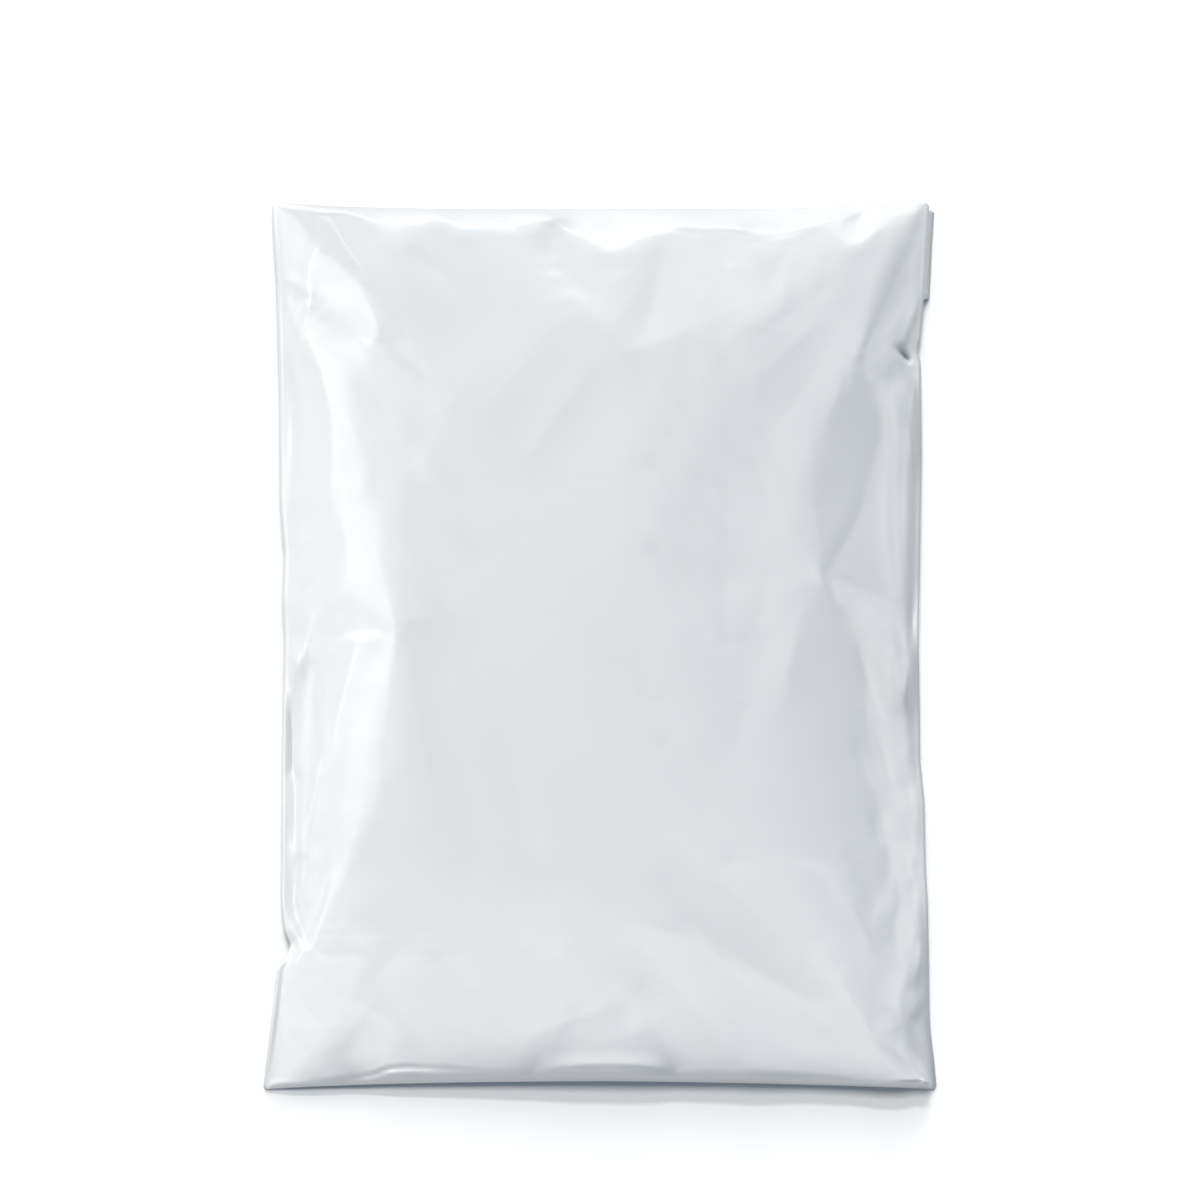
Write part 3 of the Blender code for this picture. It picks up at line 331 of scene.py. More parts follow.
# the small creases between them, of the same form
smallCreases = [
    ((29.6, 30), [(0.117, -1.032, 1.18), (0.012, -0.917, 2.9), (-0.09, -0.786, 2.09),
        (-0.212, -0.677, 0.96)]),
    ((7.8, 12.4), [(-1.041, -0.34, -0.36), (-1.013, -0.246, -1.07), (-0.981, -0.155, -1.58),
        (-0.965, -0.052, -0.08)]),
    ((30, 18.8), [(0.551, 0.908, -1.05), (0.419, 0.925, -2.34), (0.282, 0.943, -3.23),
        (0.151, 0.956, -0.93)]),
    ((30, 23.1), [(0.432, -0.224, -0.47), (0.467, -0.085, -1.01), (0.505, 0.054, -1.2),
        (0.541, 0.191, -0.13)]),
    ((7.7, 16.6), [(-1.038, -0.348, -0.53), (-1.012, -0.253, -1.18), (-0.968, -0.165, -1.51),
        (-0.958, -0.063, -0.5)]),
    ((30, 30), [(0.515, -1.04, 0.72), (0.415, -0.921, 2.82), (0.294, -0.809, 2.53),
        (0.18, -0.693, 1.34)]),
    ((19.1, 30), [(-0.69, -1.143, -0.36), (-0.721, -1.048, -1.21), (-0.745, -0.954, -1.87),
        (-0.766, -0.853, -0.66)]),
    ((29.5, 13.8), [(1.114, -0.157, 0.45), (0.97, -0.062, 2.39), (0.832, 0.043, 2.52),
        (0.69, 0.15, 1)]),
    ((7.6, 9.3), [(-1.04, -0.334, -0.36), (-1.016, -0.239, -1.18), (-0.99, -0.141, -1.44),
        (-0.96, -0.04, 0.03)]),
    ((30, 30), [(-0.009, -1.037, 1), (-0.115, -0.917, 1.95), (-0.219, -0.798, 2.13),
        (-0.345, -0.685, 1.04)]),
    ((16.1, 30), [(-0.676, 0.957, -1.47), (-0.489, 0.966, -1.64), (-0.291, 0.949, -1.79),
        (-0.089, 0.956, -1.75)]),
    ((15.7, 16.5), [(-0.519, -0.359, 0.14), (-0.548, -0.265, 0.65), (-0.577, -0.174, 1.09),
        (-0.609, -0.073, 0.43)]),
    ((9.3, 7), [(-0.973, -0.268, 0.62), (-0.963, -0.166, 1.13), (-0.979, -0.07, 1.96),
        (-0.987, 0.026, -0.02)]),
    ((30, 21.3), [(-0.512, 0.525, -0.7), (-0.616, 0.638, -2.18), (-0.72, 0.769, -1.92),
        (-0.829, 0.881, -1.14)]),
    ((30, 30), [(0.489, -1.034, 0.78), (0.376, -0.916, 2.94), (0.267, -0.802, 2.53),
        (0.148, -0.678, 0.77)]),
    ((15.6, 21.3), [(-0.052, 0.807, -1.07), (-0.15, 0.871, -2), (-0.241, 0.945, -1.52),
        (-0.339, 1.011, -0.6)]),
    ((6.4, 12.7), [(-1.059, -0.385, -0.43), (-1.021, -0.247, -1.1), (-0.985, -0.107, -1.37),
        (-0.929, 0.029, -0.11)]),
    ((25.9, 19.5), [(0.996, -1.087, 0.67), (0.986, -0.95, 2.88), (0.993, -0.803, 2.4),
        (0.995, -0.665, 0.57)]),
    ((15.2, 11.7), [(0.393, 0.193, 1.03), (0.426, 0.334, 1.02), (0.457, 0.475, 0.72),
        (0.5, 0.612, 0.17)]),
    ((30, 30), [(0.201, -1.05, 0.61), (0.096, -0.934, 3.4), (-0.009, -0.814, 2.32),
        (-0.12, -0.7, 1.66)]),
    ((10.2, 6.2), [(-0.994, -0.233, 0.69), (-0.962, -0.137, 1.23), (-0.958, -0.033, 1.82),
        (-0.923, 0.067, 0.62)]),
    ((22.5, 27.5), [(-0.889, -0.669, -0.19), (-0.958, -0.551, -1.09), (-1.046, -0.418, -0.65),
        (-1.113, -0.285, -0.54)]),
    ((30, 30), [(-0.104, -1.045, 0.3), (-0.214, -0.928, 2.17), (-0.325, -0.813, 2.24),
        (-0.433, -0.683, 0.88)]),
    ((26.8, 30), [(0.546, -0.58, -0.87), (0.428, -0.461, -1.79), (0.318, -0.344, -1.91),
        (0.207, -0.226, -1.36)]),
    ((6.7, 7.6), [(-0.944, -0.678, -0.12), (-0.985, -0.583, -1.44), (-1.031, -0.49, -0.85),
        (-1.039, -0.393, -0.39)]),
    ((8, 9), [(-0.848, -0.352, 0.15), (-0.847, -0.212, 0.67), (-0.811, -0.078, 1.15),
        (-0.741, 0.064, 0.09)]),
    ((3.7, 4), [(0.568, 0.947, 0.19), (0.652, 0.96, 1.44), (0.753, 0.982, 0.88),
        (0.862, 0.984, 0.37)]),
    ((3.3, 2), [(-1.004, 0.998, 0.51), (-0.909, 0.995, 1.62), (-0.808, 0.993, 1.84),
        (-0.717, 0.975, 0.28)]),
    ((8.3, 13.2), [(-0.478, -0.948, -0.64), (-0.535, -0.947, -0.92), (-0.591, -0.943, -0.72),
        (-0.64, -0.936, -0.26)]),
    ((8.8, 10), [(0.513, 0.611, 0.02), (0.581, 0.662, 0.34), (0.649, 0.709, 0.37),
        (0.718, 0.758, -0.1)]),
    ((3.5, 3.6), [(-1.01, -0.292, -0.36), (-0.995, -0.253, -1.27), (-0.982, -0.214, -0.98),
        (-0.975, -0.175, -0.07)]),
    ((10.8, 13.4), [(0.579, -0.13, 0.26), (0.596, -0.062, 0.58), (0.616, 0.005, 0.65),
        (0.638, 0.072, 0.28)]),
    ((2.4, 3.5), [(0.973, -0.746, 0.66), (0.992, -0.709, 2.03), (0.997, -0.665, 1.58),
        (1.012, -0.625, 0.38)]),
    ((3.6, 3.8), [(-1.025, -0.34, -0.4), (-1.007, -0.272, -1.21), (-0.994, -0.205, -0.96),
        (-0.976, -0.135, -0.13)]),
    ((3.7, 2), [(0.556, 0.957, -0.42), (0.651, 0.972, -1.04), (0.743, 0.994, -0.84),
        (0.841, 0.995, -0.5)]),
    ((9.1, 9.5), [(0.462, 0.691, 0.04), (0.544, 0.727, -0.46), (0.623, 0.765, -0.11),
        (0.698, 0.809, -0.35)]),
    ((6.7, 6.5), [(0.932, -0.364, -0.08), (0.91, -0.298, -0.81), (0.893, -0.235, -1),
        (0.858, -0.163, -0.1)]),
    ((11.9, 7.1), [(-0.678, -0.248, -0.31), (-0.669, -0.18, -0.4), (-0.667, -0.11, -0.39),
        (-0.66, -0.035, -0.46)]),
    ((10.5, 9.1), [(0.582, 0.248, -0.11), (0.548, 0.312, -0.8), (0.508, 0.373, -0.77),
        (0.473, 0.438, -0.22)]),
    ((7.5, 13), [(0.914, -0.696, -0.4), (0.903, -0.631, -1), (0.929, -0.564, -0.82),
        (0.911, -0.493, -0.31)]),
    ((3.4, 3.3), [(-0.991, -0.279, -0.72), (-0.995, -0.239, -1.25), (-1.002, -0.198, -1.21),
        (-0.996, -0.159, -0.21)]),
    ((10, 5.9), [(0.787, 0.897, -0.01), (0.801, 0.967, -1.58), (0.819, 1.034, -1.1),
        (0.837, 1.101, -0.23)]),
    ((7.2, 7), [(1.033, 0.375, 0.41), (0.997, 0.437, 1.52), (0.96, 0.504, 1.64),
        (0.927, 0.565, 0.5)]),
    ((12.8, 7.8), [(-0.894, 0.917, -1), (-0.918, 0.956, -1.41), (-0.966, 0.986, -1.12),
        (-1.001, 1.017, -0.34)]),
    ((5, 4.1), [(-0.881, 0.767, 0.27), (-0.923, 0.772, 1.28), (-0.927, 0.773, -0.57),
        (-0.984, 0.776, 0.22)]),
    ((9.8, 9.2), [(0.353, 0.223, -0.31), (0.298, 0.28, -0.97), (0.248, 0.337, -1.05),
        (0.189, 0.396, -0.5)]),
    ((11.5, 7.6), [(1.001, -0.043, 0.75), (0.943, 0.01, 1.18), (0.87, 0.059, 1.73),
        (0.796, 0.104, 0.53)]),
    ((3.4, 3.3), [(-0.991, -0.279, -0.72), (-0.995, -0.239, -1.25), (-1.002, -0.198, -1.21),
        (-0.996, -0.159, -0.21)]),
    ((2, 3.4), [(0.976, -0.107, 0.71), (0.982, -0.065, 2.32), (0.987, -0.021, 2.04),
        (0.976, 0.022, 0.59)]),
    ((3.6, 3.8), [(0.459, 0.919, 0.02), (0.552, 0.937, -0.27), (0.647, 0.942, 0.06),
        (0.74, 0.957, 0.24)]),
    ((11, 12), [(-0.687, -0.726, 0.07), (-0.721, -0.701, 0.45), (-0.769, -0.676, 0.39),
        (-0.812, -0.644, 0.2)]),
    ((12, 10), [(0.335, 0.036, -0.61), (0.282, 0.09, -1.03), (0.228, 0.148, -0.98),
        (0.171, 0.208, -0.67)]),
    ((9.9, 12.2), [(0.139, 0.709, -0.24), (0.163, 0.776, -0.58), (0.177, 0.844, -0.39),
        (0.198, 0.911, -0.34)]),
    ((13.7, 10.5), [(-0.728, 0.375, 0.34), (-0.734, 0.432, 0.4), (-0.778, 0.5, 0.25),
        (-0.832, 0.557, 0.11)]),
    ((3.4, 2.9), [(-0.994, -0.28, -0.41), (-0.999, -0.246, -1.28), (-1.005, -0.205, -1.21),
        (-1, -0.166, -0.48)]),
    ((10.1, 10.1), [(1, -0.147, 0.21), (0.945, -0.095, 1.74), (0.891, -0.033, 1.83),
        (0.841, 0.026, 0.6)]),
    ((9.7, 7.5), [(0.915, -0.826, 0.71), (0.968, -0.813, 1.21), (1.018, -0.797, 0.89),
        (1.071, -0.783, 0.2)]),
    ((9.4, 8.4), [(0.785, -0.974, -1.02), (0.678, -0.96, -0.73), (0.582, -0.954, -0.38),
        (0.494, -0.935, 0.14)]),
    ((2, 3.5), [(0.994, 0.37, 0.29), (0.985, 0.434, 2.37), (0.981, 0.507, 1.57),
        (0.991, 0.576, 0.88)]),
    ((2.7, 3.2), [(0.925, 0.66, -0.08), (0.975, 0.718, 0.55), (1.001, 0.776, 1.62),
        (1.037, 0.845, 0.17)]),
    ((8.6, 8.3), [(0.381, 0.305, -0.21), (0.327, 0.362, -0.95), (0.274, 0.419, -0.69),
        (0.223, 0.475, -0.37)]),
    ((3.5, 2.3), [(-0.977, -0.3, -0.72), (-1.003, -0.226, -1.23), (-1.008, -0.157, -1.28),
        (-1, -0.089, -0.37)]),
    ((3.5, 3.1), [(0.977, -0.988, 1.01), (0.947, -0.947, 1.63), (0.927, -0.91, 1.72),
        (0.913, -0.877, 0.48)]),
    ((4.5, 6), [(-0.996, 0.737, -0.56), (-0.974, 0.762, -0.92), (-0.959, 0.781, -0.86),
        (-0.954, 0.803, -0.39)]),
    ((3, 3.5), [(0.993, -0.741, 0.35), (0.99, -0.72, 1.63), (0.991, -0.687, 1.84),
        (0.994, -0.666, 0.43)]),
    ((9.1, 9.2), [(0.572, 0.509, -0.08), (0.626, 0.566, -0.22), (0.677, 0.624, -0.27),
        (0.73, 0.681, -0.01)]),
    ((3.4, 3.5), [(0.995, 0.016, -0.72), (0.992, 0.058, -1.46), (0.993, 0.1, -1.32),
        (0.991, 0.14, -0.36)]),
    ((4.2, 5), [(-0.672, 0.675, -0.01), (-0.726, 0.688, -0.44), (-0.772, 0.713, -0.52),
        (-0.826, 0.741, -0.17)]),
    ((3.5, 2.8), [(-0.989, -0.274, -0.53), (-1.003, -0.239, -1.26), (-1.004, -0.198, -1.23),
        (-1.003, -0.158, -0.43)]),
    ((8.4, 8.3), [(-1.094, -0.966, 0.34), (-1.015, -0.969, 2.01), (-0.936, -0.969, 1.67),
        (-0.853, -0.967, 1.03)]),
    ((2.6, 2), [(-0.958, 1.001, 0.6), (-0.876, 0.991, 1.61), (-0.798, 0.991, 1.5),
        (-0.722, 0.994, 0.14)]),
    ((6.1, 3.5), [(-1.021, -0.472, -0.39), (-0.996, -0.415, -1.03), (-0.991, -0.357, -0.68),
        (-0.976, -0.306, -0.79)]),
    ((2.6, 2.7), [(0.994, -1.022, 0.49), (0.986, -0.967, 1.56), (0.987, -0.908, 1.21),
        (0.95, -0.856, 0.47)]),
    ((4.5, 4.5), [(-0.777, 0.693, -0.21), (-0.816, 0.714, -0.44), (-0.857, 0.738, -0.21),
        (-0.901, 0.747, 0.4)]),
    ((4.4, 5.1), [(-0.649, 0.05, 0.08), (-0.656, 0.07, 0.3), (-0.666, 0.092, 0.32),
        (-0.684, 0.105, 0.16)]),
    ((2.6, 3.3), [(-0.651, 0.728, -0.17), (-0.672, 0.752, -0.57), (-0.701, 0.786, -0.59),
        (-0.736, 0.813, -0.21)]),
    ((2.6, 2), [(-0.966, 1, 0.61), (-0.884, 0.992, 1.59), (-0.807, 0.989, 1.58),
        (-0.729, 0.993, 0.14)]),
    ((7.1, 6.6), [(0.849, -0.972, 0.01), (0.919, -0.967, 1.31), (1.004, -0.968, 0.96),
        (1.08, -0.965, 0.21)]),
    ((7.7, 7.1), [(-0.438, -0.948, -0.28), (-0.363, -0.948, -0.56), (-0.281, -0.949, -0.27),
        (-0.201, -0.957, -0.68)]),
    ((6.8, 7.1), [(0.409, 0.858, -0.06), (0.384, 0.886, -0.58), (0.36, 0.913, -0.55),
        (0.333, 0.939, 0.01)]),
    ((7.1, 4.8), [(-0.954, -0.459, 0.49), (-0.955, -0.426, 0.62), (-0.968, -0.388, 0.49),
        (-0.973, -0.357, 0.29)]),
    ((6.5, 4.9), [(-1.002, -0.302, -0.65), (-1.003, -0.245, -0.99), (-1.004, -0.188, -0.95),
        (-1.003, -0.132, -0.03)]),
    ((5.1, 7), [(-0.931, -0.968, 0.23), (-0.856, -0.955, -0.07), (-0.778, -0.944, -0.02),
        (-0.7, -0.935, -0.02)]),
    ((2.6, 2), [(-0.985, -0.292, -0.24), (-1, -0.236, -0.93), (-1.008, -0.179, -0.95),
        (-1.002, -0.123, -0.06)]),
    ((5.8, 7.6), [(-0.887, 0.748, 0.3), (-0.909, 0.8, 0.62), (-0.909, 0.852, 0.82),
        (-0.877, 0.908, 0.77)]),
    ((7, 6.8), [(0.497, 0.65, -0.26), (0.507, 0.683, -0.37), (0.515, 0.716, -0.49),
        (0.522, 0.749, 0.12)]),
    ((7, 6.9), [(0.318, 0.177, -0.19), (0.273, 0.224, -0.53), (0.23, 0.271, -0.79),
        (0.186, 0.319, -0.21)]),
    ((2.6, 2.9), [(-0.237, 0.98, 0.49), (-0.157, 0.979, 1.25), (-0.079, 0.984, 1.04),
        (0.001, 0.983, 0.29)]),
    ((7.5, 7.4), [(-0.504, -1.037, -0.23), (-0.525, -0.982, -0.73), (-0.567, -0.932, -1.07),
        (-0.599, -0.884, -0.3)]),
    ((2, 2.7), [(0.975, -0.86, -0.69), (0.972, -0.842, -1.83), (0.996, -0.828, -1.58),
        (1.005, -0.807, -0.35)]),
    ((2.6, 2), [(-0.984, -0.292, -0.25), (-1, -0.236, -0.92), (-1.008, -0.179, -0.94),
        (-1.002, -0.123, -0.05)]),
    ((7.9, 9.2), [(-0.872, 0.909, 0.22), (-0.868, 0.957, 1.49), (-0.87, 1.016, 0.73),
        (-0.863, 1.074, 0.17)]),
    ((6.4, 6.6), [(0.39, 0.385, -0.2), (0.35, 0.433, -0.55), (0.304, 0.48, -0.53),
        (0.262, 0.527, -0.27)]),
    ((2.8, 3.1), [(0.875, -0.358, 0.13), (0.851, -0.304, 0.43), (0.842, -0.246, 0.39),
        (0.833, -0.19, 0.12)]),
    ((2.6, 2.3), [(0.576, 0.915, -0.12), (0.501, 0.927, -0.11), (0.424, 0.941, -0.51),
        (0.345, 0.947, -0.42)]),
    ((2.6, 2.6), [(1.017, -0.916, -0.32), (0.989, -0.861, -1.34), (0.99, -0.805, -1.18),
        (0.971, -0.751, -0.39)]),
    ((3.5, 2.6), [(-0.726, -0.967, -0.19), (-0.679, -0.97, 0.88), (-0.629, -0.967, 0.59),
        (-0.586, -0.973, 0.05)]),
    ((2.6, 2.1), [(-0.984, -0.292, -0.25), (-1, -0.236, -0.91), (-1.008, -0.179, -0.93),
        (-1.002, -0.123, -0.04)]),
    ((2.1, 2.6), [(-0.83, 0.987, 0.2), (-0.908, 0.994, 1.28), (-0.989, 1, 1.13),
        (-1.064, 1.015, 0.29)]),
    ((4.2, 4.1), [(0.792, 0.98, -0.75), (0.82, 0.983, -1.61), (0.823, 1.006, -1.13),
        (0.836, 1.022, -0.33)]),
    ((3.3, 3.2), [(0.896, -0.168, -0.12), (0.864, -0.116, -0.62), (0.844, -0.062, -0.77),
        (0.819, -0.008, -0.25)]),
    ((3.9, 4.2), [(-0.589, 0.039, -0.17), (-0.618, 0.09, -0.31), (-0.644, 0.145, -0.32),
        (-0.676, 0.21, -0.15)]),
    ((6.9, 6.8), [(0.06, 0.684, 0.32), (0.01, 0.727, 0.68), (-0.047, 0.766, 0.72),
        (-0.104, 0.806, -0.07)]),
    ((7.4, 7.2), [(-0.429, 0.791, -0.17), (-0.484, 0.832, -0.41), (-0.54, 0.871, -0.75),
        (-0.594, 0.911, -0.06)]),
    ((2.6, 2.2), [(-0.997, -0.291, -0.04), (-1.002, -0.236, -0.95), (-1.005, -0.179, -1.05),
        (-1.006, -0.123, -0.2)]),
    ((2.8, 2.6), [(-0.795, 0.968, -0.01), (-0.82, 0.971, -0.17), (-0.847, 0.978, -0.24),
        (-0.87, 0.981, -0.06)]),
    ((7, 7.4), [(-0.502, 0.074, 0.19), (-0.549, 0.119, 0.74), (-0.595, 0.167, 0.81),
        (-0.633, 0.214, 0.25)]),
    ((6.7, 6.3), [(1.054, -0.03, -0.22), (1.009, 0.017, -1.02), (0.965, 0.063, -0.8),
        (0.924, 0.108, -0.32)]),
    ((7.2, 7.6), [(0.571, 0.748, 0.08), (0.572, 0.804, 0.5), (0.572, 0.86, 0.02),
        (0.574, 0.916, 0.25)]),
    ((7.1, 6.8), [(0.61, 0.319, -0.14), (0.581, 0.371, -0.63), (0.55, 0.423, -0.36),
        (0.519, 0.476, -0.17)]),
    ((5.1, 4.2), [(0.237, -0.961, -0.41), (0.307, -0.952, -0.18), (0.387, -0.95, -0.27),
        (0.471, -0.953, -0.12)]),
    ((2.6, 2.2), [(-0.997, -0.291, -0.02), (-1.002, -0.236, -0.88), (-1.006, -0.179, -0.98),
        (-1.006, -0.123, -0.17)]),
    ((2.2, 2.6), [(0.997, -0.002, -0.56), (1.003, 0.051, -1.48), (1.001, 0.109, -1.22),
        (0.999, 0.166, -0.27)]),
    ((2.7, 2.5), [(1.032, 0.572, -0.36), (1.007, 0.6, -1.37), (0.979, 0.622, -0.9),
        (0.96, 0.649, -0.33)]),
    ((7.5, 7.9), [(0.867, -0.565, -0.46), (0.837, -0.544, -0.87), (0.813, -0.514, -0.92),
        (0.786, -0.484, -0.48)]),
    ((4.2, 4), [(-0.98, -0.995, 0.96), (-0.898, -0.995, 1.41), (-0.82, -0.994, 1.07),
        (-0.742, -0.99, 0.41)]),
    ((3.3, 2.7), [(0.814, -0.984, -0.33), (0.89, -0.984, 1.46), (0.97, -0.98, 1.45),
        (1.049, -0.98, 0.42)]),
    ((7.6, 11.2), [(-0.945, -0.893, -0.34), (-0.991, -0.845, -0.33), (-1.02, -0.795, -1.11),
        (-1.045, -0.741, -0.53)]),
    ((2.9, 3.4), [(-1.029, 0.628, -0.32), (-0.992, 0.68, -1.14), (-0.967, 0.735, -1.13),
        (-0.934, 0.779, -0.3)]),
    ((4.2, 4), [(-0.98, -0.995, 0.96), (-0.898, -0.995, 1.41), (-0.82, -0.994, 1.07),
        (-0.742, -0.99, 0.41)]),
    ((11.2, 10.3), [(1.01, -1.037, 0.43), (0.979, -0.984, 1.47), (0.93, -0.939, 1.27),
        (0.885, -0.9, 0.61)]),
    ((4, 4), [(-1.02, -0.881, -0.45), (-1.008, -0.825, -0.92), (-0.997, -0.768, -1.08),
        (-0.977, -0.717, -0.2)]),
    ((2.5, 2.6), [(-0.838, 0.989, 0.45), (-0.855, 0.993, 0.68), (-0.878, 0.99, 0.81),
        (-0.906, 0.999, 0.26)]),
    ((2.6, 2.9), [(0.932, -0.835, 0.29), (0.985, -0.791, 1.03), (1.025, -0.744, 0.88),
        (1.066, -0.695, 0.26)]),
    ((4.2, 4), [(-0.98, -0.995, 0.96), (-0.898, -0.995, 1.41), (-0.82, -0.994, 1.07),
        (-0.742, -0.99, 0.41)]),
    ((9.8, 9.8), [(1.003, -1.044, 0.4), (0.988, -0.989, 1.55), (0.978, -0.93, 1.42),
        (0.955, -0.876, 0.48)]),
    ((2.6, 2.4), [(0.926, -0.84, -0.27), (0.944, -0.822, -0.43), (0.961, -0.812, -0.7),
        (0.972, -0.796, 0.05)]),
    ((2.9, 2.9), [(-1.013, -0.726, -0.06), (-0.991, -0.716, 0.32), (-0.968, -0.712, 0.26),
        (-0.939, -0.706, 0.03)]),
    ((7.2, 7.9), [(0.775, -1, -0.48), (0.736, -0.952, -0.94), (0.697, -0.902, -0.88),
        (0.652, -0.853, -0.25)]),
    ((4.2, 4), [(-0.98, -0.995, 0.96), (-0.898, -0.995, 1.41), (-0.82, -0.994, 1.07),
        (-0.742, -0.99, 0.41)]),
    ((6.6, 7.2), [(-0.985, -0.894, -0.11), (-0.988, -0.843, -0.93), (-1.011, -0.786, -1.32),
        (-1.016, -0.732, -0.74)]),
    ((5.7, 6.6), [(0.979, -1.054, 0.38), (0.982, -0.998, 1.58), (0.983, -0.941, 1.47),
        (0.982, -0.885, 0.52)]),
    ((10.6, 10), [(1.045, -0.772, 0.28), (1.015, -0.72, 1.05), (0.984, -0.668, 0.87),
        (0.957, -0.616, 0.18)]),
    ((4.5, 4.5), [(-0.532, 0.617, -0.15), (-0.581, 0.663, -0.65), (-0.629, 0.71, -0.88),
        (-0.663, 0.761, -0.21)]),
    ((2.7, 2.7), [(1.066, 0.506, -0.36), (1.025, 0.554, -1.16), (0.98, 0.601, -1.28),
        (0.932, 0.647, -0.39)]),
    ((5.2, 4), [(-0.985, -0.995, 0.98), (-0.904, -0.994, 1.34), (-0.826, -0.995, 1.1),
        (-0.749, -0.991, 0.39)]),
    ((2.2, 2.7), [(-0.974, -0.879, 0.16), (-0.987, -0.824, 0.72), (-0.985, -0.766, 0.83),
        (-0.972, -0.711, -0.19)]),
    ((2.6, 2), [(1.038, -0.993, 0.37), (0.992, -0.993, 1.55), (0.946, -0.982, 1.34),
        (0.9, -0.983, 0.72)]),
    ((2.1, 2.6), [(0.991, -0.722, 0.46), (0.99, -0.704, 1.43), (0.99, -0.682, 1.44),
        (0.994, -0.665, 0.41)]),
    ((2.5, 2.5), [(1.004, 0.567, 0.31), (0.984, 0.596, 0.87), (0.958, 0.622, 0.62),
        (0.932, 0.648, 0.35)]),
    ((2.4, 2.2), [(0.946, -0.853, 0.18), (0.962, -0.827, 1.14), (0.987, -0.795, 1.17),
        (1.017, -0.77, 0.23)]),
    ((2.9, 2.6), [(-0.746, 0.693, -0.16), (-0.764, 0.698, -0.2), (-0.788, 0.708, -0.16),
        (-0.799, 0.721, -0.09)]),
    ((5.2, 4), [(-0.985, -0.995, 0.98), (-0.904, -0.994, 1.34), (-0.826, -0.995, 1.1),
        (-0.749, -0.991, 0.39)]),
    ((9.2, 10.7), [(-1.046, -0.867, -0.14), (-1.018, -0.814, -0.35), (-0.991, -0.76, -0.52),
        (-0.952, -0.709, -0.23)]),
    ((9.9, 9.6), [(0.978, -0.983, 0.71), (0.929, -0.936, 1.01), (0.891, -0.887, 1.03),
        (0.835, -0.845, 0.37)]),
    ((10.8, 12.6), [(-0.929, -0.233, -0.64), (-0.917, -0.18, -1.08), (-0.897, -0.121, -1.05),
        (-0.881, -0.061, -0.81)]),
    ((2.3, 2.6), [(0.995, -0.717, 0.54), (0.996, -0.684, 1.25), (0.992, -0.65, 1.13),
        (0.993, -0.613, 0.51)]),
    ((4.9, 4), [(-0.779, 0.882, 0.11), (-0.806, 0.938, 0.42), (-0.843, 0.987, 0.43),
        (-0.867, 1.041, 0.15)]),
    ((2.9, 2.6), [(0.968, -0.522, 0.3), (0.97, -0.5, 0.42), (0.969, -0.485, 0.63),
        (0.959, -0.462, 0.17)]),
    ((2.6, 2.5), [(0.871, -0.437, -0.22), (0.862, -0.418, -0.52), (0.855, -0.401, -0.52),
        (0.848, -0.382, -0.16)]),
    ((2.3, 2.4), [(-0.795, 0.691, -0.05), (-0.834, 0.704, -0.09), (-0.868, 0.727, -0.04),
        (-0.899, 0.745, -0.2)]),
    ((3.5, 4), [(-1.005, -0.994, 0.75), (-0.926, -0.996, 1.67), (-0.843, -1.001, 1.25),
        (-0.764, -0.994, 0.34)]),
    ((2.6, 2.1), [(-1.017, -0.854, -0.34), (-1, -0.799, -1.38), (-0.999, -0.741, -1.62),
        (-0.986, -0.688, -0.24)]),
    ((10.1, 10), [(0.816, -0.858, 0.42), (0.767, -0.813, 1), (0.725, -0.766, 1.09),
        (0.679, -0.715, 0.47)]),
    ((10.5, 10.5), [(-1.025, 0.422, 0.35), (-1.003, 0.477, 0.74), (-0.959, 0.528, 0.79),
        (-0.932, 0.578, 0.52)]),
    ((2.6, 2.8), [(0.874, -0.979, -0.24), (0.844, -0.978, -0.64), (0.82, -0.973, -0.4),
        (0.808, -0.968, -0.25)]),
    ((11.4, 9.5), [(-0.995, 0.079, -0.52), (-0.943, 0.124, -0.59), (-0.884, 0.16, -0.7),
        (-0.841, 0.21, -0.22)]),
    ((2.3, 2.6), [(0.941, -0.826, 0.18), (0.953, -0.809, 0.47), (0.953, -0.787, 0.44),
        (0.963, -0.775, -0.23)]),
    ((2.6, 2.5), [(1.038, 0.568, -0.36), (1.012, 0.594, -1.27), (0.987, 0.62, -1.02),
        (0.962, 0.646, -0.42)]),
    ((2.6, 2.6), [(0.767, 0.066, -0.11), (0.736, 0.118, -0.41), (0.706, 0.171, -0.41),
        (0.675, 0.223, -0.15)]),
    ((4.1, 3.7), [(-1.009, -0.976, 0.23), (-1.003, -0.92, -1.19), (-1, -0.861, -1.31),
        (-1.002, -0.806, -0.32)]),
    ((4, 4.1), [(-0.875, -1.001, 0.48), (-0.85, -0.994, 0.85), (-0.823, -0.983, 0.94),
        (-0.797, -0.981, 0.57)]),
    ((4.1, 2.4), [(-0.994, 0.426, 0.43), (-1, 0.485, 1.34), (-0.992, 0.541, 1.16),
        (-1.002, 0.599, 0.29)]),
    ((10.7, 10), [(-0.539, -1.032, -0.25), (-0.612, -1.01, -0.82), (-0.687, -0.993, -0.6),
        (-0.767, -0.958, -0.72)]),
    ((10.3, 10.5), [(0.123, -0.129, 0.06), (0.078, -0.082, -0.57), (0.035, -0.035, -0.53),
        (-0.01, 0.012, -0.16)]),
    ((2.1, 2.7), [(1.013, 0.585, -0.41), (0.998, 0.616, -1.33), (0.993, 0.648, -1.17),
        (0.975, 0.68, -0.47)]),
    ((2.6, 2.6), [(0.766, 0.579, -0.08), (0.772, 0.597, -0.25), (0.777, 0.615, -0.3),
        (0.782, 0.633, -0.05)]),
    ((2.7, 2.2), [(-1.026, -0.779, -0.2), (-1.01, -0.748, -0.88), (-0.991, -0.724, -1.02),
        (-0.977, -0.692, 0.27)]),
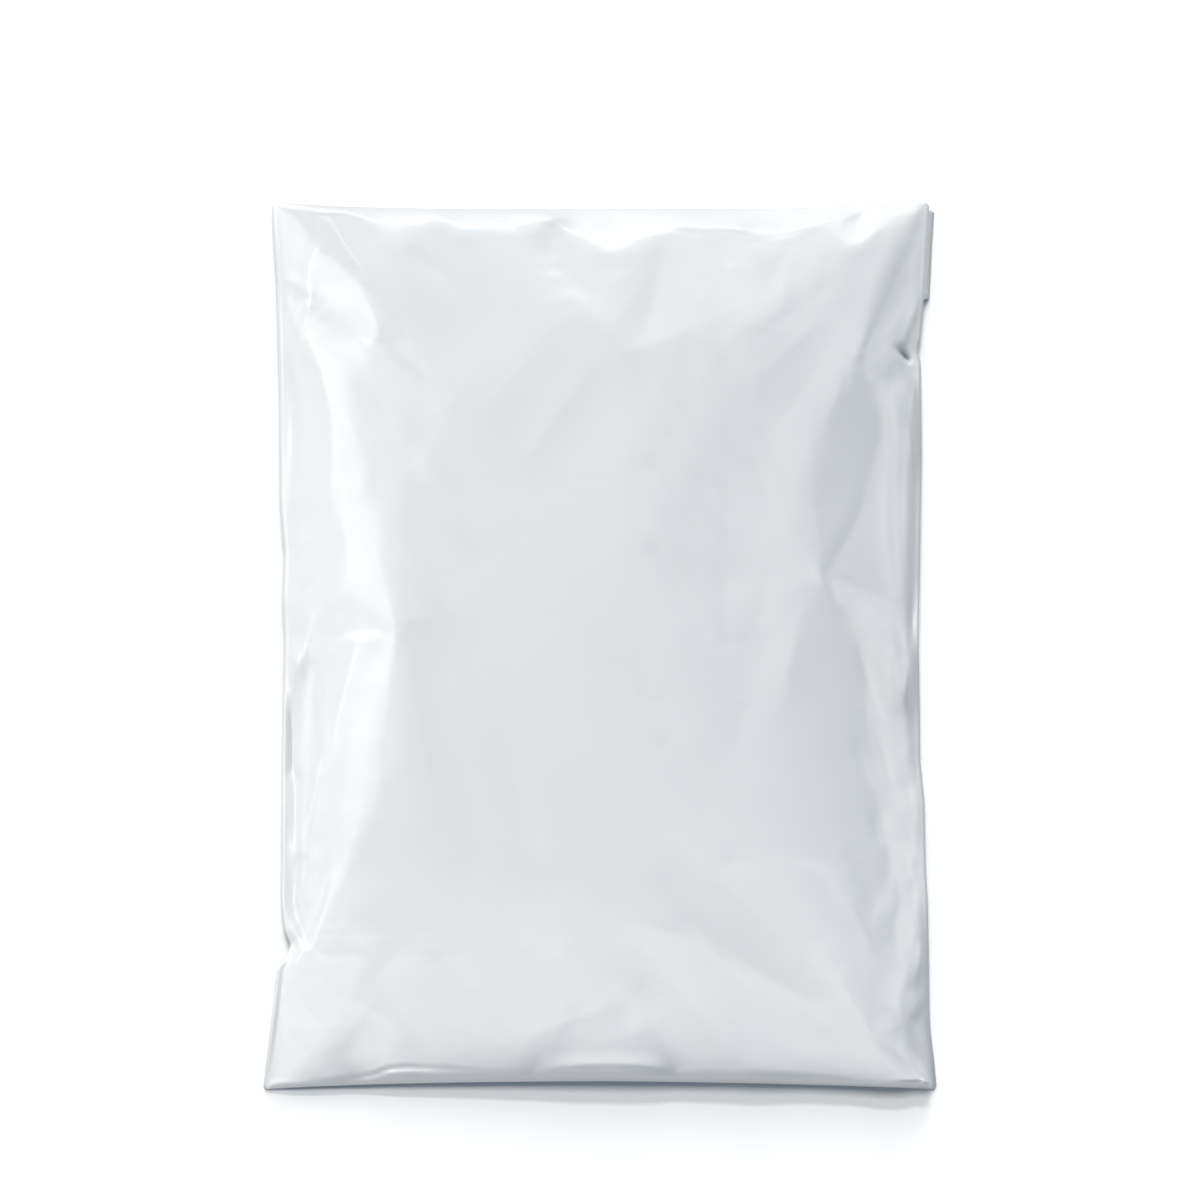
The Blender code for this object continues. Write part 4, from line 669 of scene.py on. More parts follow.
    ((2.6, 2.6), [(0.447, -0.754, -0.2), (0.415, -0.73, -0.49), (0.383, -0.707, -0.6),
        (0.351, -0.684, -0.19)]),
    ((2.4, 2.4), [(-0.968, -0.992, 0.23), (-0.893, -0.986, -0.88), (-0.814, -0.983, -0.66),
        (-0.734, -0.974, -0.19)]),
    ((2.5, 2.6), [(-0.835, 0.984, 0.22), (-0.908, 0.994, 1.02), (-0.987, 1.003, 0.98),
        (-1.064, 1.015, 0.25)]),
    ((3.9, 4.1), [(0.982, -1.028, 0.53), (0.986, -0.972, 1.59), (0.987, -0.913, 1.48),
        (0.993, -0.86, 0.23)]),
    ((9.6, 7.9), [(-0.712, 0.645, -0.13), (-0.792, 0.668, -0.88), (-0.86, 0.689, -0.95),
        (-0.929, 0.716, -0.29)]),
    ((2.3, 2.6), [(-1.019, -1, 0.59), (-0.937, -0.996, 1.33), (-0.86, -0.998, 1.35),
        (-0.782, -0.999, 0.36)]),
    ((2.4, 2.7), [(0.98, -1.036, 0.45), (0.987, -0.981, 1.53), (0.987, -0.923, 1.45),
        (0.985, -0.866, 0.57)]),
    ((3.9, 4), [(0.656, 0.35, -0.06), (0.67, 0.406, -0.13), (0.685, 0.461, -0.25),
        (0.703, 0.516, -0.05)]),
    ((6.7, 6.6), [(0.365, 0.663, 0.15), (0.34, 0.69, 0.52), (0.314, 0.717, 0.42),
        (0.289, 0.744, 0.15)]),
    ((2.3, 2.6), [(-1.019, -1, 0.59), (-0.937, -0.996, 1.33), (-0.86, -0.998, 1.35),
        (-0.782, -0.999, 0.36)]),
    ((2, 2.5), [(0.797, -0.997, 0.17), (0.84, -0.991, 0.66), (0.888, -0.987, 1.05),
        (0.929, -0.98, 0.47)]),
    ((6.7, 6.4), [(0.197, -0.925, 0.43), (0.151, -0.881, 0.68), (0.111, -0.831, 0.77),
        (0.059, -0.785, 0.21)]),
    ((2.3, 2.6), [(-1.019, -1, 0.59), (-0.937, -0.996, 1.33), (-0.86, -0.998, 1.35),
        (-0.782, -0.999, 0.36)]),
    ((2.1, 2.7), [(0.98, -1.041, 0.43), (0.986, -0.986, 1.57), (0.99, -0.927, 1.47),
        (0.992, -0.871, 0.46)]),
    ((7.7, 7.1), [(-0.514, -0.707, 0.09), (-0.547, -0.683, 0.42), (-0.577, -0.663, 0.34),
        (-0.612, -0.637, 0.12)]),
    ((6.4, 6.6), [(0.458, 0.863, -0.1), (0.432, 0.89, -0.49), (0.408, 0.917, -0.57),
        (0.382, 0.943, -0.27)]),
    ((3, 2.6), [(-0.994, -0.997, 0.69), (-0.95, -0.994, 1.48), (-0.895, -0.995, 1.49),
        (-0.857, -0.996, 0.47)]),
    ((4, 4.5), [(-0.992, -0.927, -0.14), (-0.994, -0.894, -0.91), (-1.005, -0.865, -1.17),
        (-1.009, -0.831, -0.43)]),
    ((6.5, 6.7), [(-0.576, -0.888, -0.05), (-0.639, -0.852, -0.29), (-0.696, -0.821, -0.46),
        (-0.778, -0.791, -0.05)]),
    ((4.1, 4.1), [(0.458, -0.119, 0.17), (0.473, -0.064, 0.11), (0.488, -0.008, 0.23),
        (0.503, 0.047, 0.12)]),
    ((2.6, 2), [(-0.996, -0.984, -0.53), (-0.999, -0.93, -1.58), (-1, -0.867, -1.62),
        (-0.998, -0.806, -0.74)]),
    ((2.7, 3.4), [(-0.729, -0.985, 0), (-0.773, -0.974, 0.09), (-0.815, -0.965, 0.5),
        (-0.853, -0.967, 0.1)]),
    ((9.1, 6.2), [(-0.697, 0.817, 0.32), (-0.745, 0.866, 1.03), (-0.791, 0.918, 0.9),
        (-0.827, 0.968, 0.45)]),
    ((6.7, 6.7), [(-0.412, 0.222, 0.18), (-0.455, 0.27, 0.53), (-0.498, 0.317, 0.54),
        (-0.543, 0.364, 0.24)]),
    ((2.6, 2.5), [(1.026, -0.992, 0.36), (1.002, -0.986, 1.33), (0.971, -0.986, 1.51),
        (0.958, -0.98, 0.17)]),
    ((6.7, 6.5), [(-0.847, 0.991, 0.18), (-0.888, 0.998, 0.73), (-0.933, 1.003, 0.7),
        (-0.979, 1.008, 0.32)]),
    ((11.6, 11.2), [(-0.175, -0.474, -0.16), (-0.222, -0.393, -0.64), (-0.274, -0.311, -0.74),
        (-0.323, -0.229, -0.28)]),
    ((2.1, 2.5), [(-0.953, 0.636, 0.09), (-0.936, 0.695, 0.06), (-0.921, 0.75, 0.24),
        (-0.906, 0.797, 0.55)]),
    ((7.4, 7), [(-1.007, 0.186, 0.33), (-0.981, 0.211, 0.45), (-0.946, 0.235, 0.41),
        (-0.914, 0.256, 0.08)]),
    ((2.6, 2.5), [(1.026, -0.992, 0.36), (1.002, -0.986, 1.33), (0.971, -0.986, 1.51),
        (0.958, -0.98, 0.17)]),
    ((4.1, 3), [(-0.992, 0.767, 0.65), (-0.996, 0.822, 1.42), (-0.995, 0.881, 1.28),
        (-0.999, 0.939, 0.54)]),
    ((4.6, 4.2), [(-0.54, 0.606, 0.02), (-0.64, 0.663, 0.62), (-0.705, 0.738, 0.2),
        (-0.798, 0.797, 0.03)]),
    ((7.2, 7.4), [(-0.49, -0.991, -0.27), (-0.562, -0.919, -0.56), (-0.631, -0.846, -0.43),
        (-0.704, -0.763, -0.21)]),
    ((2.7, 2.6), [(0.992, 0.007, -0.53), (0.992, 0.042, -1.28), (0.996, 0.075, -1.2),
        (0.994, 0.107, -0.38)]),
    ((2.4, 2.6), [(0.984, -1.107, 0.36), (0.978, -1.018, 1.41), (0.984, -0.928, 1.52),
        (0.986, -0.84, 0.4)]),
    ((10.7, 9.9), [(-1.066, 0.254, -0.15), (-0.993, 0.328, -0.16), (-0.929, 0.402, -0.29),
        (-0.865, 0.477, -0.13)]),
    ((2.7, 2.9), [(-0.95, 0.695, 0.17), (-0.95, 0.714, 0.45), (-0.953, 0.731, 0.62),
        (-0.959, 0.75, 0.16)]),
    ((3, 2.9), [(-0.804, -0.351, -0.03), (-0.797, -0.294, -0.1), (-0.793, -0.236, -0.21),
        (-0.795, -0.178, -0.08)]),
    ((6.2, 6.1), [(-1.038, -0.991, -0.17), (-1.013, -0.904, -0.52), (-0.992, -0.816, -0.27),
        (-0.966, -0.732, -0.3)]),
    ((3.9, 4.7), [(-0.992, -0.878, 0.09), (-0.975, -0.821, 0.24), (-0.961, -0.764, 0.16),
        (-0.941, -0.708, 0.13)]),
    ((2.4, 2.7), [(0.913, -1.101, 0.36), (0.961, -1.02, 1.44), (1.008, -0.937, 1.4),
        (1.055, -0.855, 0.36)]),
    ((10.6, 10.6), [(-0.214, -0.929, 0.16), (-0.328, -0.892, 0.24), (-0.443, -0.86, 0.15),
        (-0.558, -0.826, 0.08)]),
    ((2.5, 2.6), [(0.996, -0.022, -0.4), (0.994, 0.034, -1.32), (1.001, 0.091, -1.23),
        (1.001, 0.148, -0.35)]),
    ((6.8, 6.4), [(1.076, -0.473, 0.2), (0.987, -0.411, 0.32), (0.902, -0.348, 0.63),
        (0.814, -0.287, 0.15)]),
    ((10.1, 11.6), [(0.922, -0.445, 0.35), (0.97, -0.402, 0.69), (1.023, -0.359, 0.69),
        (1.083, -0.323, 0.24)]),
    ((4, 3.4), [(-1.036, -0.973, -0.22), (-1.015, -0.885, -0.76), (-0.987, -0.799, -0.49),
        (-0.964, -0.715, -0.08)]),
    ((2.8, 2.7), [(-0.679, 0.707, -0.05), (-0.694, 0.713, -0.19), (-0.717, 0.732, -0.12),
        (-0.74, 0.737, -0.01)]),
    ((2.4, 2.7), [(0.913, -1.101, 0.36), (0.961, -1.02, 1.44), (1.008, -0.937, 1.4),
        (1.055, -0.855, 0.36)]),
    ((2.6, 2.6), [(-0.993, -0.827, 0.22), (-0.975, -0.77, 0.38), (-0.963, -0.717, 0.33),
        (-0.959, -0.664, -0.17)]),
    ((7.5, 6), [(0.928, -0.438, -0.23), (0.959, -0.411, -0.46), (0.982, -0.387, -0.75),
        (0.985, -0.351, -0.3)]),
    ((10.2, 9.4), [(0.515, -0.644, 0.26), (0.433, -0.577, 0.65), (0.346, -0.515, 0.73),
        (0.261, -0.451, 0.26)]),
    ((2, 2.6), [(-1.133, -1, 0.33), (-1.012, -0.998, 1.49), (-0.887, -1, 1.4),
        (-0.761, -0.998, 0.35)]),
    ((7.9, 6.6), [(-0.533, 0.368, -0.16), (-0.601, 0.446, -0.84), (-0.67, 0.51, -0.98),
        (-0.748, 0.585, -0.14)]),
    ((2.2, 2.6), [(0.881, -0.987, 0.55), (0.96, -0.989, 1.44), (1.039, -0.984, 1.31),
        (1.118, -0.986, 0.36)]),
    ((4, 3.9), [(-0.981, -0.263, -0.28), (-0.992, -0.208, -1.16), (-1.01, -0.153, -1.06),
        (-1.025, -0.097, -0.28)]),
    ((2.4, 2.6), [(0.998, -0.013, -0.41), (0.998, 0.043, -1.33), (1.001, 0.1, -1.22),
        (1.001, 0.157, -0.34)]),
    ((6.3, 6.8), [(-0.618, 0.659, 0.18), (-0.667, 0.7, 0.39), (-0.725, 0.741, 0.27),
        (-0.784, 0.778, 0.1)]),
    ((2.6, 2.4), [(-1.001, -0.247, -0.29), (-1.002, -0.215, -1.07), (-0.998, -0.181, -1.11),
        (-1.002, -0.15, -0.31)]),
    ((2.4, 2.5), [(0.855, -0.975, -0.14), (0.933, -0.974, -0.42), (1.012, -0.973, -0.35),
        (1.091, -0.974, -0.1)]),
    ((3.7, 4), [(-0.832, 0.984, 0.07), (-0.909, 0.994, 0.48), (-0.987, 1.003, 0.44),
        (-1.064, 1.015, 0.11)]),
    ((2.5, 2.6), [(0.998, -0.004, -0.4), (0.997, 0.028, -1.22), (1.002, 0.061, -1.11),
        (1.001, 0.094, -0.33)]),
    ((2.6, 2.4), [(-1.001, -0.242, -0.23), (-1.001, -0.21, -0.98), (-0.999, -0.177, -1),
        (-1.004, -0.145, -0.27)]),
    ((2.5, 2.6), [(-1.061, -0.988, -0.04), (-0.982, -0.985, -0.16), (-0.903, -0.986, -0.11),
        (-0.824, -0.988, -0.3)]),
    ((2.5, 2.6), [(0.999, -0.008, -0.32), (0.996, 0.023, -1.13), (1.002, 0.057, -1.02),
        (1.001, 0.089, -0.29)]),
    ((2.4, 2.6), [(0.949, -1, 0.35), (0.968, -0.991, 1.45), (0.994, -0.985, 1.4),
        (1.018, -0.976, 0.36)]),
    ((2.6, 2.4), [(-1.001, -0.238, -0.2), (-1, -0.206, -0.9), (-1.001, -0.173, -0.9),
        (-1.004, -0.141, -0.24)]),
    ((2.4, 2.6), [(0.971, -0.848, -0.56), (0.976, -0.829, -1.58), (0.994, -0.81, -1.31),
        (1.007, -0.795, -0.36)]),
    ((2.6, 2.5), [(1.085, -1.028, 0.13), (1.013, -1.004, 0.53), (0.939, -0.984, 0.55),
        (0.866, -0.963, 0.05)]),
    ((2.5, 2.6), [(0.999, -0.008, -0.29), (0.996, 0.023, -1.04), (1.001, 0.057, -0.92),
        (1.001, 0.089, -0.26)]),
    ((2.6, 2.4), [(-0.997, -0.271, -0.58), (-1, -0.213, -1.27), (-1.001, -0.156, -1.23),
        (-1.004, -0.1, -0.28)]),
    ((2.9, 2.6), [(-0.844, 0.303, 0.05), (-0.852, 0.359, 0.12), (-0.846, 0.416, 0.16),
        (-0.85, 0.473, 0.12)]),
    ((2.6, 2.8), [(-0.718, 0.105, -0.02), (-0.741, 0.13, -0.07), (-0.768, 0.159, -0.18),
        (-0.789, 0.187, -0.04)]),
]

# the plain pleats of the back
backFolds = {
    "bottomLeftPleat": ((9, 9), [(-0.95, -0.96, -0.4), (-0.84, -0.86, -2.0),
        (-0.74, -0.76, -0.3)]),
    "bottomRightPleat": ((9, 9), [(0.95, -0.95, -0.4), (0.85, -0.85, -2.2), (0.72, -0.77, -0.3)]),
    "leftSidePleat": ((9, 9), [(-0.98, 0.16, -0.5), (-0.88, 0.12, -1.8), (-0.78, 0.14, -0.3)]),
    "rightSidePleat": ((9, 9), [(0.98, -0.22, -0.5), (0.87, -0.25, -1.8), (0.78, -0.21, -0.3)]),
    "bottomPleat": ((8, 8), [(-0.32, -0.98, -0.8), (-0.30, -0.90, -1.5), (-0.31, -0.82, -0.2)]),
}


def crowded(cells):
    # the cells get narrower towards both rims
    even = np.linspace(-1, 1, cells + 1)
    share = bag["crowding"]
    return share * even + (1 - share) * np.sin(np.pi / 2 * even)


def edgeCurve(knots, v, blur):
    # the measured edge with its corners rounded off
    at, reach = zip(*knots)
    total = np.zeros_like(v)
    offsets = np.linspace(-2, 2, 9)
    weights = np.exp(-offsets ** 2)
    for offset, weight in zip(offsets, weights / weights.sum()):
        total += weight * np.interp(np.clip(v + offset * blur, -1, 1), at, reach)
    return total


def alongRim(at, table):
    # a smooth curve through the table
    values = np.array(table, float)
    knots = np.linspace(-1, 1, len(values))
    bend = np.gradient(values, knots)
    i = np.clip(np.searchsorted(knots, at) - 1, 0, len(knots) - 2)
    gap = knots[i + 1] - knots[i]
    t = (at - knots[i]) / gap
    return ((2 * t**3 - 3 * t**2 + 1) * values[i] + (t**3 - 2 * t**2 + t) * gap * bend[i]
            + (3 * t**2 - 2 * t**3) * values[i + 1] + (t**3 - t**2) * gap * bend[i + 1])


def weldLine(u, v, blur):
    weld = np.where(u < 0, edgeCurve(leftWeld, v, blur), edgeCurve(rightWeld, v, blur))
    return weld - bag["weldMargin"]


def halfWidth(u, v):
    return weldLine(u, v, bag["weldBlur"])


def rimHeight(u, v):
    corner = np.abs(u * v) ** bag["cornerPower"]
    along, across = v * bag["length"] / 2, u * bag["waist"]
    wave = np.sin(along / bag["longWave"] + u)
    wave = wave + bag["shortShare"] * np.sin(along / bag["shortWave"] + 2 * u)
    wave = wave + bag["crossShare"] * np.sin(across / bag["crossWave"] + v)
    lowDroop = bag["lowDroop"] * u * u * v ** bag["lowDroopPower"]
    droop = np.where(v < 0, lowDroop, bag["cornerDroop"] * corner)
    return bag["rim"] - droop + bag["rimWave"] / 2 * wave * (1 - corner)


def riseShare(distance, slope, bulge):
    return 1 - (1 - np.clip(distance / slope, 0, 1)) ** bulge


def fromRims(u, v):
    return (1 - np.abs(u)) * halfWidth(u, v), (1 - np.abs(v)) * bag["length"] / 2


def softenedPath(path, rounds=2):
    # the path with its corners cut twice
    points = np.array(path, float)
    for _ in range(rounds):
        near = 0.75 * points[:-1] + 0.25 * points[1:]
        far = 0.25 * points[:-1] + 0.75 * points[1:]
        inner = np.stack([near, far], axis=1).reshape(-1, points.shape[1])
        points = np.vstack([points[:1], inner, points[-1:]])
    return points


def foldLift(folds, u, v):
    scale = np.array([bag["waist"], bag["length"] / 2, 1])
    total = np.zeros_like(u)
    for reach, path in folds:
        points = softenedPath(path) * scale
        low, high = points.min(0) - max(reach) - 1, points.max(0) + max(reach) + 1
        x, y = u * scale[0], v * scale[1]
        near = np.nonzero((x > low[0]) & (x < high[0]) & (y > low[1]) & (y < high[1]))[0]
        across, along = x[near], y[near]
        nearest = np.full(near.shape, np.inf)
        lift, side = np.zeros(near.shape), np.zeros(near.shape)
        for start, end in zip(points[:-1], points[1:]):
            run = end - start
            ax, ay = across - start[0], along - start[1]
            share = np.clip((ax * run[0] + ay * run[1]) / (run[0] ** 2 + run[1] ** 2), 0, 1)
            away = np.hypot(ax - share * run[0], ay - share * run[1])
            closer = away < nearest
            nearest = np.where(closer, away, nearest)
            lift = np.where(closer, start[2] + share * run[2], lift)
            turn = (run[0] * ay - run[1] * ax) / (np.hypot(run[0], run[1]) * away + 1e-6)
            side = np.where(closer, turn, side)
        span = (reach[0] + reach[1]) / 2 + (reach[0] - reach[1]) / 2 * side
        fromLine = np.sqrt(nearest ** 2 + bag["crest"] ** 2) - bag["crest"]
        total[near] += lift * np.clip(1 - fromLine / span, 0, 1) ** 2
    return total


def edgeFade(u, v):
    return np.clip(np.minimum(*fromRims(u, v)) / bag["creaseFade"], 0, 1)


def backHeight(u, v):
    fromSide, fromEnd = fromRims(u, v)
    endSlope = np.where(v < 0, bag["backBottomSlope"], bag["backTopSlope"])
    share = riseShare(fromSide, bag["backSideSlope"], bag["backBulge"])
    share = share * riseShare(fromEnd, endSlope, bag["backBulge"])
    pressed = bag["backPress"]
    height = (rimHeight(u, v) - bag["filmPair"] / 2 + pressed) * (1 - share) - pressed
    pleats = foldLift(backFolds.values(), u, v)
    height = height - pleats * edgeFade(u, v) * (1 - share)
    onFlap = (1 - v) * bag["length"] / 2 < bag["flapLength"]
    return np.maximum(height - bag["flapStep"] * onFlap * edgeFade(u, v), 0)


def frontHeight(u, v, under):
    fromSide, fromEnd = fromRims(u, v)
    left, low = u < 0, v < 0
    sideSlope = np.where(left, alongRim(v, leftSlope), alongRim(v, rightSlope))
    endSlope = np.where(low, alongRim(u, bottomSlope), alongRim(u, topSlope))
    share = riseShare(fromSide, sideSlope, np.where(left, bag["leftBulge"], bag["rightBulge"]))
    toCorner = u ** bag["cornerPower"]
    lowBulge = bag["bottomBulge"] + (bag["cornerBulge"] - bag["bottomBulge"]) * toCorner
    share = share * riseShare(fromEnd, endSlope, np.where(low, lowBulge, bag["topBulge"]))
    crown = bag["bottomCrown"] + (bag["topCrown"] - bag["bottomCrown"]) * (v + 1) / 2
    crown = crown - bag["dome"] * (1 - (1 - u * u) * (1 - v * v))
    seam = rimHeight(u, v) + bag["filmPair"] / 2
    height = seam + (crown - seam) * share
    creases = foldLift([*frontFolds.values(), *smallCreases], u, v)
    height = height + creases * edgeFade(u, v)
    return np.maximum(height, under + bag["filmPair"])


def filmPlace(u, v, margin):
    fromEnd = (1 - np.abs(v)) * bag["length"] / 2
    lip = bag["weldMargin"] * margin * np.clip(fromEnd / bag["marginRun"], 0, 1)
    # nicks in the weld die out soon inside it
    nick = weldLine(u, v, bag["nickBlur"]) - halfWidth(u, v)
    nick = nick * np.sign(u) * np.abs(u) ** bag["nickPower"]
    x = u * halfWidth(u, v) + nick + lip
    powers = bag["bowPowers"]
    bottomBow = bag["bottomBow"] * (1 - np.abs(u) ** np.where(u < 0, powers[0], powers[1]))
    topBow = bag["topBow"] * (1 - np.abs(u) ** powers[2])
    y = v * (bag["length"] / 2 - np.where(v < 0, bottomBow, topBow) * v * v)
    # the bottom fold itself is drawn in a little more
    tuck = bag["lowTuck"] * (1 - np.abs(u) ** bag["tuckRound"])
    y = y + tuck * np.clip(-v, 0, 1) ** bag["tuckFade"]
    return x, y


def makeFilmBag(material):
    uOf = np.concatenate([[-1], crowded(bag["cellsAcross"]), [1]])
    vOf = crowded(bag["cellsAlong"])
    across, along = len(uOf) - 1, len(vOf) - 1
    web = bmesh.new()
    bmesh.ops.create_grid(web, x_segments=across, y_segments=along, size=1)
    made = bmesh.ops.extrude_face_region(web, geom=web.faces[:])
    upper = {item for item in made["geom"] if isinstance(item, bmesh.types.BMVert)}
    verts = list(web.verts)
    column = np.array([round((vert.co.x + 1) / 2 * across) for vert in verts])
    row = np.array([round((vert.co.y + 1) / 2 * along) for vert in verts])
    isFront = np.array([vert in upper for vert in verts])
    u, v = uOf[column], vOf[row]
    margin = (column == across).astype(float) - (column == 0).astype(float)
    x, y = filmPlace(u, v, margin)
    under = backHeight(u, v)
    z = np.where(isFront, frontHeight(u, v, under), under)
    # the closure flap, folded over to the back, stands out past the right weld
    flap = (margin > 0) & ~isFront & (y > bag["length"] / 2 - bag["flapLength"])
    flap = flap & (y < bag["length"] / 2 - bag["flapInset"])
    x = x + flap * bag["flapShows"]
    z = z - flap * bag["flapDrop"] - (margin != 0) * bag["weldTurn"]
    for vert, place in zip(verts, zip(x * mm, y * mm, z * mm)):
        vert.co = place
    # the flat that the bag lies on needs no cells
    resting = [face for face in web.faces if all(corner.co.z == 0 for corner in face.verts)]
    bmesh.ops.dissolve_faces(web, faces=resting)
    bmesh.ops.recalc_face_normals(web, faces=web.faces[:])
    mesh = bpy.data.meshes.new("mailerFilm")
    web.to_mesh(mesh)
    web.free()
    mesh.shade_smooth()
    mesh.materials.append(material)
    bagObject = bpy.data.objects.new("mailerFilm", mesh)
    scene.collection.objects.link(bagObject)
    return bagObject


film = {
    "colour": (0.80, 0.821, 0.824),
    "roughness": (0.29, 0.37),
    "specular": 0.4,
    "coat": 0.15,
    "coatRoughness": 0.12,
    "drawnLines": 0.012,     # mm, height of the marks left by drawing the film
    "crinkle": 0.02,
    "slack": 0.10,
    "drawnGrain": (9, 900, 40),       # how fine each pattern is, to the metre
    "crinkleGrain": (260, 330, 300),
    "slackGrain": (38, 55, 30),
    "glossGrain": (70, 110, 70),
    "glossNoise": (0.3, 0.7),         # the part of the pattern that the gloss runs over
}


def addNode(tree, kind, **settings):
    node = tree.nodes.new(kind)
    for name, value in settings.items():
        if name in node.inputs:
            node.inputs[name].default_value = value
        else:
            setattr(node, name, value)
    return node


def addNoise(tree, place, stretch, detail, rough=0.5):
    scaled = addNode(tree, "ShaderNodeMapping", Scale=stretch)
    tree.links.new(place, scaled.inputs["Vector"])
    noise = addNode(tree, "ShaderNodeTexNoise", Scale=1, Detail=detail, Roughness=rough)
    tree.links.new(scaled.outputs[0], noise.inputs["Vector"])
    return noise.outputs["Fac"]


def addBump(tree, height, distance, under=None):
    bump = addNode(tree, "ShaderNodeBump", Strength=1, Distance=distance * mm)
    tree.links.new(height, bump.inputs["Height"])
    if under:
        tree.links.new(under, bump.inputs["Normal"])
    return bump.outputs[0]


def makeFilmMaterial():
    material = bpy.data.materials.new("whiteMailerFilm")
    material.use_nodes = True
    tree = material.node_tree
    shader = tree.nodes["Principled BSDF"]
    shader.inputs["Base Color"].default_value = (*film["colour"], 1)
    shader.inputs["Specular IOR Level"].default_value = film["specular"]
    shader.inputs["Coat Weight"].default_value = film["coat"]
    shader.inputs["Coat Roughness"].default_value = film["coatRoughness"]
    place = tree.nodes.new("ShaderNodeTexCoord").outputs["Object"]
    slack = addBump(tree, addNoise(tree, place, film["slackGrain"], 1), film["slack"])
    folded = addNoise(tree, place, film["crinkleGrain"], 3)
    crinkle = addBump(tree, folded, film["crinkle"], slack)
    drawn = addNoise(tree, place, film["drawnGrain"], 1)
    lines = addBump(tree, drawn, film["drawnLines"], crinkle)
    tree.links.new(lines, shader.inputs["Normal"])
    sheen = addNode(tree, "ShaderNodeMapRange")
    ends = film["glossNoise"] + film["roughness"]
    for name, value in zip(("From Min", "From Max", "To Min", "To Max"), ends):
        sheen.inputs[name].default_value = value
    tree.links.new(addNoise(tree, place, film["glossGrain"], 4, 0.6), sheen.inputs["Value"])
    tree.links.new(sheen.outputs[0], shader.inputs["Roughness"])
    return material


def makeFloorMaterial():
    material = bpy.data.materials.new("paleFloor")
    material.use_nodes = True
    tree = material.node_tree
    tree.nodes.clear()
    output = tree.nodes.new("ShaderNodeOutputMaterial")
    bounced = addNode(tree, "ShaderNodeBsdfDiffuse", Color=(*studio["floorBounce"], 1))
    paper = addNode(tree, "ShaderNodeBsdfDiffuse", Color=(*studio["floorSeen"], 1))
    glow = addNode(tree, "ShaderNodeEmission", Color=(*studio["floorGlowColour"], 1),
                   Strength=studio["floorGlow"])
    seen = tree.nodes.new("ShaderNodeAddShader")
    tree.links.new(paper.outputs[0], seen.inputs[0])
    tree.links.new(glow.outputs[0], seen.inputs[1])
    path = tree.nodes.new("ShaderNodeLightPath")
    mix = tree.nodes.new("ShaderNodeMixShader")
    tree.links.new(path.outputs["Is Camera Ray"], mix.inputs[0])
    tree.links.new(bounced.outputs[0], mix.inputs[1])
    tree.links.new(seen.outputs[0], mix.inputs[2])
    tree.links.new(mix.outputs[0], output.inputs["Surface"])
    return material


studio = {
    "worldStrength": 0.362,
    "worldColour": (0.895, 0.98, 1.125),
    "floorBounce": (0.165, 0.168, 0.17),
    "floorSeen": (0.25, 0.25, 0.245),
    "floorGlow": 0.08,
    "floorGlowColour": (0.6, 0.9, 1.25),
    "floorSize": 6,           # metres
    "cameraDistance": 6,
    "frameWidth": 0.446,      # metres across the picture at the rim
    "aim": (0, 17.1, 17),     # mm
    "lampDistance": 12,
}

# azimuth and elevation in degrees, size in metres, watts, colour
lamps = {
    "keyBox": (168, 39, (7.6, 6.2), 840, (1, 0.945, 0.892)),
    "topBox": (86, 27, (10.5, 6.6), 915, (1, 0.98, 0.955)),
}

# these light the floor alone, and draw the bag's shadow below its bottom fold
floorLamps = {
    "floorWide": (90, 55.5, (3.4, 6.0), 1471, (1, 0.99, 0.98)),
    "floorMiddle": (90, 72.5, (1.4, 0.5), 1342, (1, 0.99, 0.98)),
    "floorNear": (90, 81.7, (1.4, 1.4), 2425, (1, 0.99, 0.985)),
}


def makeFloor():
    floorMesh = bmesh.new()
    bmesh.ops.create_grid(floorMesh, x_segments=1, y_segments=1, size=studio["floorSize"])
    mesh = bpy.data.meshes.new("floor")
    floorMesh.to_mesh(mesh)
    floorMesh.free()
    mesh.materials.append(makeFloorMaterial())
    floorObject = bpy.data.objects.new("floor", mesh)
    scene.collection.objects.link(floorObject)
    return floorObject


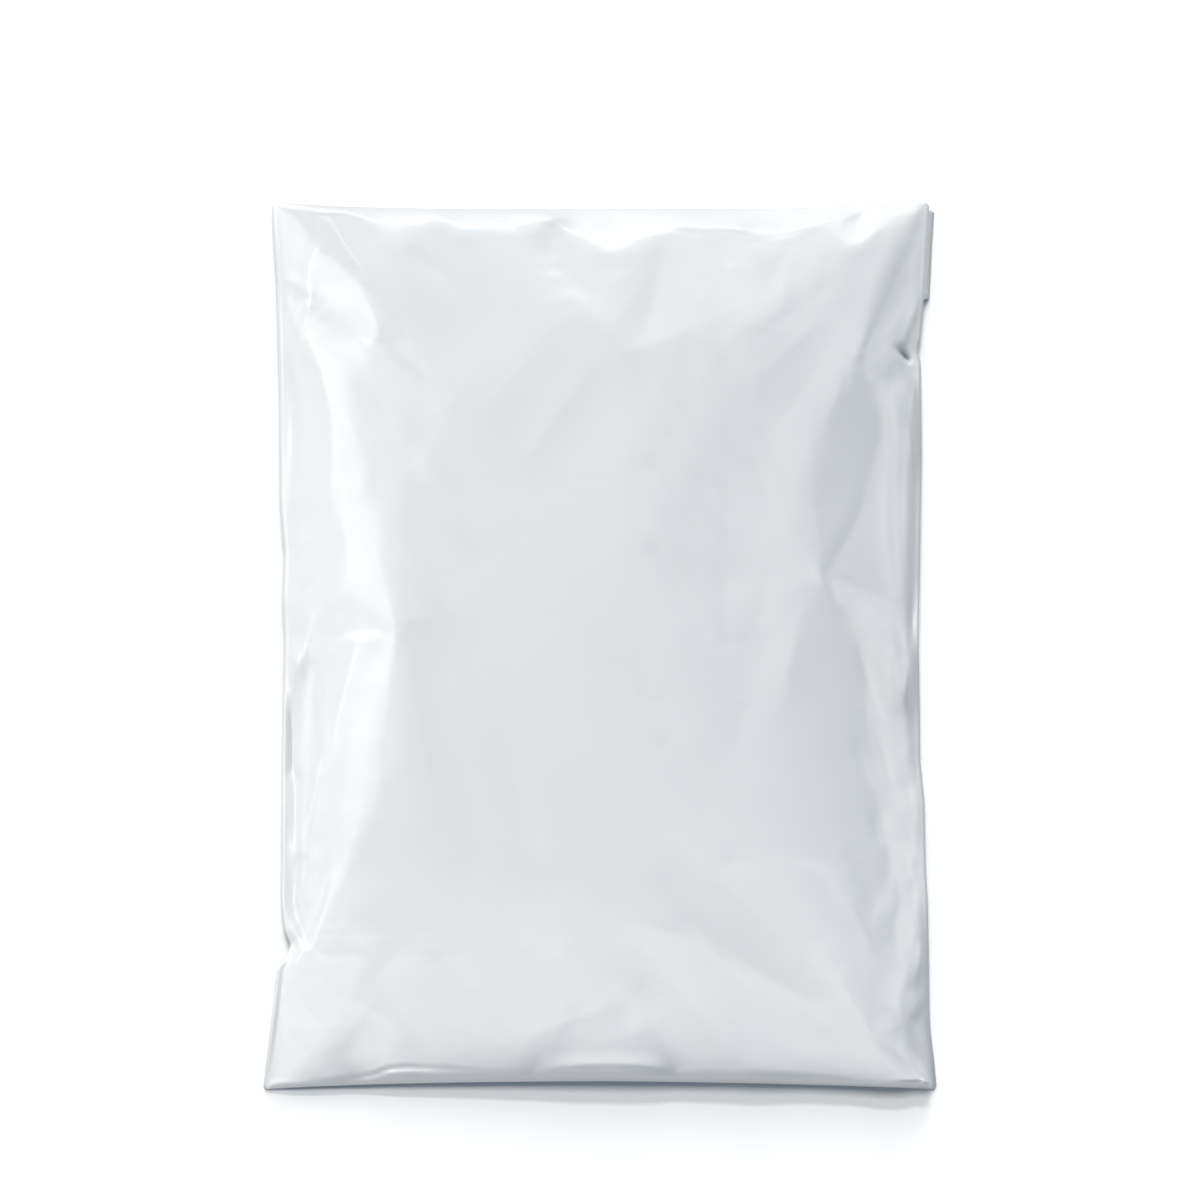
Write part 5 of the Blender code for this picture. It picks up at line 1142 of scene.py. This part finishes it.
def makeWorld():
    world = bpy.data.worlds.new("studio")
    scene.world = world
    world.use_nodes = True
    tree = world.node_tree
    tree.nodes.clear()
    output = tree.nodes.new("ShaderNodeOutputWorld")
    ambient = addNode(tree, "ShaderNodeBackground", Color=(*studio["worldColour"], 1),
                      Strength=studio["worldStrength"])
    white = addNode(tree, "ShaderNodeBackground", Color=(1, 1, 1, 1), Strength=1)
    path = tree.nodes.new("ShaderNodeLightPath")
    seen = tree.nodes.new("ShaderNodeMath")
    seen.operation = "MAXIMUM"
    tree.links.new(path.outputs["Is Camera Ray"], seen.inputs[0])
    tree.links.new(path.outputs["Is Glossy Ray"], seen.inputs[1])
    mix = tree.nodes.new("ShaderNodeMixShader")
    tree.links.new(seen.outputs[0], mix.inputs[0])
    tree.links.new(ambient.outputs[0], mix.inputs[1])
    tree.links.new(white.outputs[0], mix.inputs[2])
    tree.links.new(mix.outputs[0], output.inputs["Surface"])


def addSoftbox(name, azimuth, elevation, size, power, colour):
    light = bpy.data.lights.new(name, "AREA")
    light.shape = "RECTANGLE"
    light.size, light.size_y = size
    light.energy = power
    light.color = colour
    turn, lift = math.radians(azimuth), math.radians(elevation)
    place = Vector((math.cos(turn) * math.cos(lift), math.sin(turn) * math.cos(lift),
                    math.sin(lift))) * studio["lampDistance"]
    lamp = bpy.data.objects.new(name, light)
    lamp.location = place
    lamp.rotation_euler = (-place).to_track_quat("-Z", "Y").to_euler()
    scene.collection.objects.link(lamp)
    return lamp


def makeCamera():
    data = bpy.data.cameras.new("camera")
    distance = studio["cameraDistance"]
    data.lens = data.sensor_width * distance / studio["frameWidth"]
    camera = bpy.data.objects.new("camera", data)
    camera.location = Vector(studio["aim"]) * mm + Vector((0, 0, distance))
    scene.collection.objects.link(camera)
    scene.camera = camera


filmMaterial = makeFilmMaterial()
filmBag = makeFilmBag(filmMaterial)
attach(filmBag, "root")
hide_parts("mailer_bag")
print("film bag made:", len(filmBag.data.polygons), "faces")

floorObject = makeFloor()
makeWorld()
for name, settings in lamps.items():
    addSoftbox(name, *settings)
floorOnly = bpy.data.collections.new("floorOnly")
floorOnly.objects.link(floorObject)
for name, settings in floorLamps.items():
    addSoftbox(name, *settings).light_linking.receiver_collection = floorOnly
makeCamera()
scene.view_settings.view_transform = "Standard"
print("floor, lamps and camera placed")
